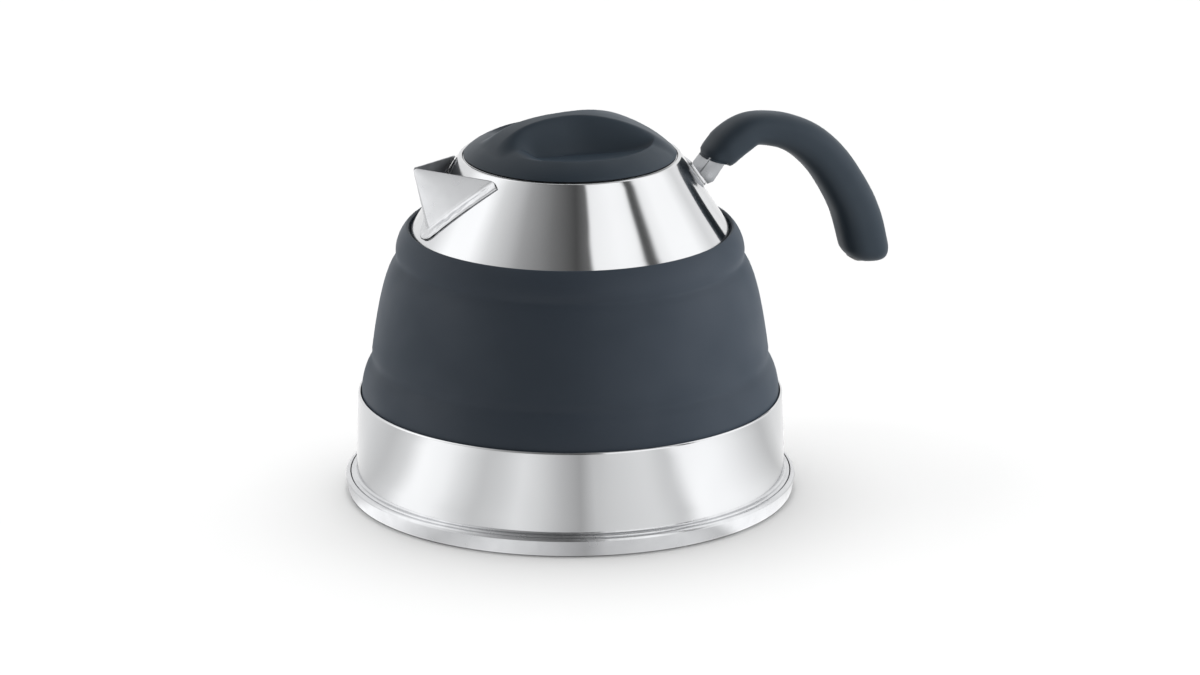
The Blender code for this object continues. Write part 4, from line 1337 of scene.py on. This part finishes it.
@dataclass
class Lid:
    """Soft cover with two finger dishes and a crest, on a plug with a sealing ring and screws."""

    rest: float = 0.0009
    rise: float = 0.0135
    rise_power: float = 0.72
    wall: float = 0.0024
    rim_height: float = 0.0003
    rim_steps: Ring = ((0.0002, 0.0003), (0.0006, 0.0))
    under_rings: tuple[float, ...] = (0.94, 0.85, 0.72, 0.55, 0.35, 0.15)
    rings: int = 84
    faces_round: int = 200
    top_weld: float = 0.00002
    sharp: float = 60.0
    dish_margin: float = 0.0100
    dish_depth: float = 0.0109
    dish_power: float = 0.75
    dish_spout_reach: float = 0.0330
    dish_fade: float = 0.0130
    lip_share: float = 0.24
    lip_power: float = 1.6
    crest_height: float = 0.0051
    crest_waist: float = 0.0055
    crest_handle_flare: float = 0.0190
    crest_spout_flare: float = 0.0080
    crest_face: float = 0.0095
    crest_shoulder: float = 0.28
    crest_middle: float = -0.0053
    crest_spout_reach: float = 0.0335
    crest_handle_reach: float = 0.0500
    crest_spout_power: float = 4.2
    crest_handle_power: float = 2.5
    crest_ends: float = 0.90
    crest_gather: float = 1.15
    plug_gap: float = 0.0016
    plug_wall: float = 0.0022
    plug_floor: float = 0.0016
    plug_depth: float = 0.0079
    seal_height: float = 0.0022
    seal_depth: float = 0.0010
    seal_drop: float = 0.0040
    screw_inset: float = 0.0146
    screw_radius: float = 0.0012
    head_radius: float = 0.0028
    head_height: float = 0.0014
    head_flat: float = 0.6
    cross_length: float = 1.3
    cross_width: float = 0.2
    screw_length: float = 0.0070

    @property
    def radius(self) -> float:
        """Outer radius of the cover."""
        return LEVELS.neck_radius + self.rest

    @property
    def edge(self) -> float:
        """Height of the cover's underside."""
        return LEVELS.mouth_top + LEVELS.gap

    @property
    def plug_radius(self) -> float:
        """Outer radius of the plug."""
        return LEVELS.neck_radius - self.plug_gap

    @property
    def seal_middle(self) -> float:
        """Height of the seal's middle."""
        return LEVELS.mouth_top - self.seal_drop

    def dome(self, x: float, y: float) -> float:
        """Height of the plain dome."""
        share = min((x * x + y * y) / self.radius**2, 1)
        return self.edge + self.rise * (1 - share) ** self.rise_power

    def dished(self, x: float, y: float) -> float:
        """Height of the dome with the finger dish sunk in it."""
        reach = math.hypot(x, y) / (self.radius - self.dish_margin)
        depth = self.dish_depth * (1 - min(reach, 1) ** 2) ** self.dish_power
        return self.dome(x, y) - depth * ease((x + self.dish_spout_reach) / self.dish_fade)

    def height(self, x: float, y: float) -> float:
        """Height of the cover's top: two dishes, and a waisted crest that flares at both ends."""
        away = x - self.crest_middle
        reach, power, flare = (
            (self.crest_handle_reach, self.crest_handle_power, self.crest_handle_flare)
            if away > 0
            else (self.crest_spout_reach, self.crest_spout_power, self.crest_spout_flare)
        )
        rise = self.crest_height * max(1 - (abs(away) / reach) ** power, 0)
        half = math.hypot(self.crest_waist, flare * away / self.radius)
        crest = 1 - ease((abs(y) - half) / self.crest_face + self.crest_shoulder)
        low = self.dished(x, y)
        return low + (self.dome(x, y) + rise - low) * crest

    def top_place(self, turn: float, share: float) -> Point:
        """Spread the rings of the top: round at the edge and the dish's lip, long at the crest.

        Args:
            turn: Angle round the lid.
            share: 0 at the edge, 1 along the crest.

        Returns:
            X and Y.
        """
        dish = self.radius - self.dish_margin
        c, s = math.cos(turn), math.sin(turn)
        if share < self.lip_share:
            t = (share / self.lip_share) ** self.lip_power
            out = self.radius + (dish - self.radius) * t
            return (out * c, out * s)
        t = (share - self.lip_share) / (1 - self.lip_share)
        narrow = 1 - t**self.crest_gather
        shorten = 1 - (1 - self.crest_ends) * t
        return (dish * shorten * c, dish * narrow * s)

    def grow(
        self, bm: Mesh, rim: list[bmesh.types.BMEdge], radius: float, height: float | None = None
    ) -> list[bmesh.types.BMEdge]:
        """Extrude the cover's open rim by one ring of faces.

        Args:
            bm: The cover's mesh.
            rim: Its open edges.
            radius: Radius of the new rim.
            height: Its height, or None where it follows the underside of the dished top.

        Returns:
            The edges of the new rim.
        """
        grown = bmesh.ops.extrude_edge_only(bm, edges=rim)["geom"]
        for vert in [g for g in grown if isinstance(g, bmesh.types.BMVert)]:
            turn = math.atan2(vert.co.y, vert.co.x)
            x, y = radius * math.cos(turn), radius * math.sin(turn)
            vert.co = Vector((x, y, self.dished(x, y) - self.wall if height is None else height))
        return [g for g in grown if isinstance(g, bmesh.types.BMEdge)]

    def cover(self) -> Piece:
        """Model the cover from turned rings, pressed to the dish and the crest."""
        bm = bmesh.new()
        verts = [bm.verts.new((1 - step / self.rings, 0, 0)) for step in range(self.rings)]
        for pair in zip(verts, verts[1:]):
            bm.edges.new(pair)
        spin_round(bm, self.faces_round)
        for vert in bm.verts:
            share = (1 - vert.co.xy.length) * self.rings / (self.rings - 1)
            x, y = self.top_place(math.atan2(vert.co.y, vert.co.x), min(share, 1))
            vert.co = Vector((x, y, max(self.height(x, y), self.edge + self.rim_height)))
        bmesh.ops.remove_doubles(bm, verts=bm.verts, dist=self.top_weld)
        bmesh.ops.recalc_face_normals(bm, faces=bm.faces)
        if sum(face.normal.z for face in bm.faces) < 0:
            bmesh.ops.reverse_faces(bm, faces=bm.faces)
        rim = [edge for edge in bm.edges if edge.is_boundary]
        for inward, up in (*self.rim_steps, (self.wall, 0.0)):
            rim = self.grow(bm, rim, self.radius - inward, self.edge + up)
        for share in self.under_rings:
            rim = self.grow(bm, rim, (self.radius - self.wall) * share)
        bmesh.ops.holes_fill(bm, edges=rim, sides=0)
        bmesh.ops.recalc_face_normals(bm, faces=bm.faces)
        return new_object("lid_cover_fine", bm, math.radians(self.sharp))

    def plug(self) -> Piece:
        """Turn the plug: floor, wall and the seal's groove."""
        low = LEVELS.mouth_top - self.plug_depth
        gap = LEVELS.gap
        half = gap + self.seal_height / 2
        deep, high = self.seal_middle - half, self.seal_middle + half
        groove = self.plug_radius - self.seal_depth - gap
        inside = self.plug_radius - self.plug_wall
        fillet = self.plug_floor / 2
        line = Outline().to(0, low).to(self.plug_radius / 2, low)
        line.arc((self.plug_radius - fillet, low + fillet), fillet, 270, 360, 5)
        line.to(self.plug_radius, deep).to(groove, deep).to(groove, high)
        line.to(self.plug_radius, high).to(self.plug_radius, self.edge - gap)
        line.to(inside, self.edge - gap).to(inside, low + self.plug_floor)
        line.to(0, low + self.plug_floor)
        piece = turned("lid_plug_fine", line, steps=SMALL_ROUND_STEPS)
        soften(piece, 0.00015)
        return settle(piece)

    def seal(self) -> Piece:
        """Turn the sealing ring, with two rounded lips towards the mouth."""
        middle = self.seal_middle
        half = self.seal_height / 2
        inner = self.plug_radius - self.seal_depth
        outer = LEVELS.neck_radius - LEVELS.gap
        line = Outline().to(inner, middle - half).to(self.plug_radius, middle - half)
        line.curve((outer, middle - half / 2), ((0.6, 0), (1, 0.4)), 5)
        line.curve((outer, middle + half / 2), ((0, 0.3), (0, 0.7)), 2)
        line.curve((self.plug_radius, middle + half), ((0, 0.6), (0.4, 1)), 5)
        line.to(inner, middle + half)
        return turned("lid_seal_fine", line, steps=SMALL_ROUND_STEPS)

    def screw(self, index: int, x: float, y: float) -> Piece:
        """Turn one pan-head screw and cut its cross.

        Args:
            index: Number in its name.
            x: Where it stands.
            y: Where it stands.

        Returns:
            The new object.
        """
        low = LEVELS.mouth_top - self.plug_depth - LEVELS.gap
        face = low - self.head_height
        line = Outline().to(0, face).to(self.head_radius * self.head_flat, face)
        line.curve((self.head_radius, low), ((0.7, 0), (1, 0.5)), 5)
        line.to(self.screw_radius, low)
        line.to(self.screw_radius, low + self.screw_length - self.screw_radius)
        line.to(0, low + self.screw_length)
        piece = turned(f"lid_screw_{index}_fine", line, steps=SCREW_STEPS, place=(x, y))
        bm = bmesh.new()
        size = self.head_radius * self.cross_length
        for turn in (0, 90):
            bar = bmesh.ops.create_cube(bm, size=1.0)["verts"]
            bmesh.ops.scale(bm, verts=bar, vec=(size, size * self.cross_width, self.head_height))
            spin = Matrix.Rotation(math.radians(turn), 3, "Z")
            bmesh.ops.rotate(bm, verts=bar, cent=(0, 0, 0), matrix=spin)
        bmesh.ops.translate(bm, verts=bm.verts, vec=(x, y, face))
        return cut_out(piece, new_object("screw_cross_cutter", bm), crossing=True)

    def build(self) -> None:
        """Make and dress the lid's pieces."""
        dress(self.cover(), SOFT_TOUCH, Slot.SOFT_TOUCH, Body.LID, "lid_cover")
        dress(self.plug(), NYLON, Slot.PLASTIC, Body.LID, "lid_plug")
        dress(self.seal(), SEAL, Slot.SEAL, Body.LID, "lid_seal")
        ring = self.plug_radius - self.screw_inset
        for index in (1, 2, 3):
            turn = math.tau * (index - 0.75) / 3
            piece = self.screw(index, ring * math.cos(turn), ring * math.sin(turn))
            dress(piece, SATIN_STEEL, Slot.SATIN, Body.LID, f"lid_screw_{index}")


@dataclass(frozen=True)
class Lamp:
    """A soft square lamp, by its turn from the camera, distance, height, width and power."""

    name: str
    turn: float
    away: float
    height: float
    width: float
    power: float


@dataclass
class Studio:
    """White floor and the light over it, the walls of light round it, two lamps and the camera."""

    turn: float = -22.0
    camera_place: tuple[float, float, float] = (0.0132, -3.0, 0.9825)
    camera_pitch: float = 16.93
    lens: float = 212.07
    film_width: float = 36.0
    floor_radius: float = 14.0
    floor_drop: float = 0.0001
    paper_lit: str = "#7C7C7C"
    paper_seen: str = "#AAAAAA"
    white: str = "#FFFFFF"
    overhead_span: Point = (54.0, 70.0)
    overhead: float = 0.32
    matt_overhead: float = 0.04
    matt_share: float = 0.6
    slant: float = 0.003
    # Turns from the camera, to its right, and the light from there: a white box on the left, two on
    # the right with a dark gap between them, and the dark behind the camera, hard at its right.
    walls: Ring = (
        (-180, 1.08), (-136, 1.06), (-116, 1.14), (-100, 1.6), (-80, 1.6), (-66, 1.04),
        (-50, 0.73), (-40, 0.50), (-15, 0.25), (6, 0.10), (16, 0.21), (18.5, 1.35),
        (40, 1.5), (56, 1.45), (59, 0.09), (66, 0.09), (70, 1.3), (82, 1.5),
        (104, 1.5), (120, 1.05), (136, 1.2), (180, 1.0),
    )  # fmt: skip
    # The floor as the steel mirrors it: in bands in front of the kettle, and brightest beside it.
    floor_light: Ring = (
        (-180, 1.0), (-112, 1.0), (-90, 0.78), (-77, 1.02), (-68, 1.55), (-54, 1.40),
        (-46, 1.08), (-37, 0.82), (-29, 0.95), (-20, 1.16), (-11, 0.97), (-3, 0.72),
        (4.5, 0.53), (10, 0.84), (21, 0.96), (33, 1.06), (44, 0.84), (50, 1.58),
        (66, 1.52), (78, 1.30), (101, 0.75), (115, 1.0), (180, 1.0),
    )  # fmt: skip
    lamps: tuple[Lamp, ...] = (
        Lamp("left_box", -95.0, 1.1, 0.06, 0.9, 6.0),
        Lamp("right_box", 80.0, 1.1, 0.24, 0.9, 15.5),
    )
    lamp_aim: float = 0.09
    sky_turn: float = 180.0
    sky_tilt: float = 11.0
    sky_spread: float = 70.0
    sky_power: float = 6.60
    floor_alone: bpy.types.Collection = field(init=False)
    kettle_alone: bpy.types.Collection = field(init=False)

    def build(self) -> None:
        """Set up the whole studio."""
        self.floor_alone = bpy.data.collections.new("floor_alone")
        self.kettle_alone = bpy.data.collections.new("all_but_the_floor")
        self.camera()
        self.world()
        self.floor()
        for lamp in self.lamps:
            self.lamp(lamp)
        self.sky_light()

    def camera(self) -> None:
        """Place the camera at the photograph's angle."""
        data = bpy.data.cameras.new("photo_camera")
        data.lens = self.lens
        data.sensor_width = self.film_width
        data.clip_start, data.clip_end = 0.1, 60.0
        camera = bpy.data.objects.new("photo_camera", data)
        around = Matrix.Rotation(math.radians(self.turn), 4, "Z")
        tilt = Matrix.Rotation(math.radians(90 - self.camera_pitch), 4, "X")
        camera.matrix_world = around @ Matrix.Translation(self.camera_place) @ tilt
        bpy.context.scene.collection.objects.link(camera)
        bpy.context.scene.camera = camera

    def hang(
        self, name: str, kind: str, power: float, lights: bpy.types.Collection
    ) -> tuple[bpy.types.Light, Piece]:
        """Hang a light that shows in no mirror.

        Args:
            name: Its name.
            kind: Blender's type of light.
            power: Its power.
            lights: What it lights.

        Returns:
            The light, and the object that holds it.
        """
        data = bpy.data.lights.new(name, kind)
        data.energy = power
        held = bpy.data.objects.new(name, data)
        held.visible_glossy = False
        held.light_linking.receiver_collection = lights
        bpy.context.scene.collection.objects.link(held)
        return data, held

    def lamp(self, lamp: Lamp) -> None:
        """Hang one soft lamp that points at the kettle and lights all but the floor."""
        data, held = self.hang(lamp.name, "AREA", lamp.power, self.kettle_alone)
        data.size = lamp.width
        turn = math.radians(lamp.turn + self.turn)
        held.location = Vector((math.sin(turn), -math.cos(turn), 0)) * lamp.away
        held.location.z = lamp.height
        aim = Vector((0, 0, self.lamp_aim)) - held.location
        held.rotation_euler = aim.to_track_quat("-Z", "Y").to_euler()

    def sky_light(self) -> None:
        """Hang the wide light that whitens the floor and lays a soft shadow round the base."""
        data, held = self.hang("sky_over_the_kettle", "SUN", self.sky_power, self.floor_alone)
        data.angle = math.radians(self.sky_spread)
        around = Matrix.Rotation(math.radians(self.sky_turn + self.turn), 4, "Z")
        held.matrix_world = around @ Matrix.Rotation(math.radians(self.sky_tilt), 4, "X")

    def around(self, tree: Tree, way: Socket, levels: Ring, slant: float) -> tuple[Socket, Socket]:
        """Find the light in a direction, in a ring of light round the kettle.

        Args:
            tree: Node tree to add to.
            way: The direction.
            levels: Turns from the camera, and the light there.
            slant: How much the ring leans with each degree of elevation.

        Returns:
            The light, and the elevation in degrees.
        """
        spin = {"Vector": way, "Angle": math.radians(-self.turn)}
        turned_way = add_node(tree, "VectorRotate", spin, rotation_type="Z_AXIS")
        x, y, z = add_node(tree, "SeparateXYZ", {0: turned_way.outputs[0]}).outputs
        rise = add_node(tree, "Math", {0: z}, operation="ARCSINE").outputs[0]
        whole = {0: rise, 1: 180 / math.pi}
        degrees = add_node(tree, "Math", whole, operation="MULTIPLY").outputs[0]
        front = add_node(tree, "Math", {0: y, 1: -1.0}, operation="MULTIPLY").outputs[0]
        bearing = add_node(tree, "Math", {0: x, 1: front}, operation="ARCTAN2").outputs[0]
        lean = {0: degrees, 1: -slant, 2: 1.0}
        shrink = add_node(tree, "Math", lean, operation="MULTIPLY_ADD").outputs[0]
        leaning = add_node(tree, "Math", {0: bearing, 1: shrink}, operation="MULTIPLY").outputs[0]
        circle = {"Value": leaning, "From Min": -math.pi, "From Max": math.pi}
        ramp = add_node(tree, "ValToRGB", {0: add_node(tree, "MapRange", circle).outputs[0]})
        stops = ramp.color_ramp.elements
        brightest = max(level for _, level in levels)
        while len(stops) < len(levels):
            stops.new(0.5)
        for stop, (turn, level) in zip(stops, levels):
            stop.position = (turn + 180) / 360
            stop.color = (level / brightest,) * 3 + (1,)
        lit = add_node(tree, "Math", {0: ramp.outputs[0], 1: brightest}, operation="MULTIPLY")
        return lit.outputs[0], degrees

    def world(self) -> None:
        """Light the scene from the studio's walls; the camera sees plain white."""
        world = bpy.data.worlds.new("studio")
        world.use_nodes = True
        bpy.context.scene.world = world
        tree = world.node_tree
        tree.nodes.clear()
        way = add_node(tree, "TexCoord").outputs["Generated"]
        light, degrees = self.around(tree, way, self.walls, self.slant)
        path = add_node(tree, "LightPath")
        matt = path.outputs["Is Diffuse Ray"]
        ends = {"Value": matt, "To Min": self.overhead, "To Max": self.matt_overhead}
        top = add_node(tree, "MapRange", ends).outputs[0]
        low, high = self.overhead_span
        ends = {"Value": degrees, "From Min": low, "From Max": high, "To Min": 1.0, "To Max": top}
        roof = add_node(tree, "MapRange", ends, interpolation_type="SMOOTHSTEP").outputs[0]
        lit = add_node(tree, "Math", {0: light, 1: roof}, operation="MULTIPLY").outputs[0]
        # The lamps do part of the walls' work on matt surfaces, so these get less of it.
        ends = {"Value": matt, "To Min": 1.0, "To Max": self.matt_share}
        share = add_node(tree, "MapRange", ends).outputs[0]
        level = add_node(tree, "Math", {0: lit, 1: share}, operation="MULTIPLY").outputs[0]
        white = linear(self.white)
        walls = add_node(tree, "Background", {"Strength": level, "Color": white}).outputs[0]
        plain_white = add_node(tree, "Background", {"Strength": 1.0, "Color": white}).outputs[0]
        either = {0: path.outputs["Is Camera Ray"], 1: walls, 2: plain_white}
        mixed = add_node(tree, "MixShader", either)
        add_node(tree, "OutputWorld", {"Surface": mixed.outputs[0]})

    def floor(self) -> None:
        """Lay the white floor, which keeps the kettle's shadow and can't be seen from below."""
        bm = bmesh.new()
        bmesh.ops.create_circle(bm, cap_ends=True, radius=self.floor_radius, segments=96)
        bmesh.ops.translate(bm, verts=bm.verts, vec=(0, 0, -self.floor_drop))
        floor = new_object("studio_floor", bm)
        paper = bpy.data.materials.new("white_studio_floor")
        paper.use_nodes = True
        tree = paper.node_tree
        tree.nodes.clear()
        # White paper under its own lights: as the kettle gets light from it, and as it is seen.
        shader = add_node(tree, "BsdfDiffuse", {"Color": linear(self.paper_lit)})
        seen = add_node(tree, "BsdfDiffuse", {"Color": linear(self.paper_seen)})
        place = add_node(tree, "TexCoord").outputs["Object"]
        light, _ = self.around(tree, place, self.floor_light, 0.0)
        glow = add_node(tree, "Emission", {"Strength": light})
        path = add_node(tree, "LightPath")
        for_metal, for_camera = path.outputs["Is Glossy Ray"], path.outputs["Is Camera Ray"]
        clear = add_node(tree, "BsdfTransparent")
        below = add_node(tree, "NewGeometry").outputs["Backfacing"]
        for share, other in ((for_metal, glow), (for_camera, seen), (below, clear)):
            pair = {0: share, 1: shader.outputs[0], 2: other.outputs[0]}
            shader = add_node(tree, "MixShader", pair)
        add_node(tree, "OutputMaterial", {"Surface": shader.outputs[0]})
        floor.data.materials.append(paper)
        self.floor_alone.objects.link(floor)
        self.kettle_alone.objects.link(floor)
        self.kettle_alone.collection_objects[0].light_linking.link_state = "EXCLUDE"


def main() -> None:
    """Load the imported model, build each sub-assembly round it and set up the studio."""
    logging.basicConfig(level=logging.INFO, format="%(name)s %(message)s")
    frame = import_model()
    nodes = frame["nodes"]
    spout = Spout()
    Studio().build()
    Base(nodes).build()
    SiliconeWall().build()
    Collar(spout).build()
    spout.build()
    Handle(nodes).build()
    Lid().build()
    bpy.context.scene.view_settings.view_transform = "Standard"


if __name__ == "__main__":
    main()
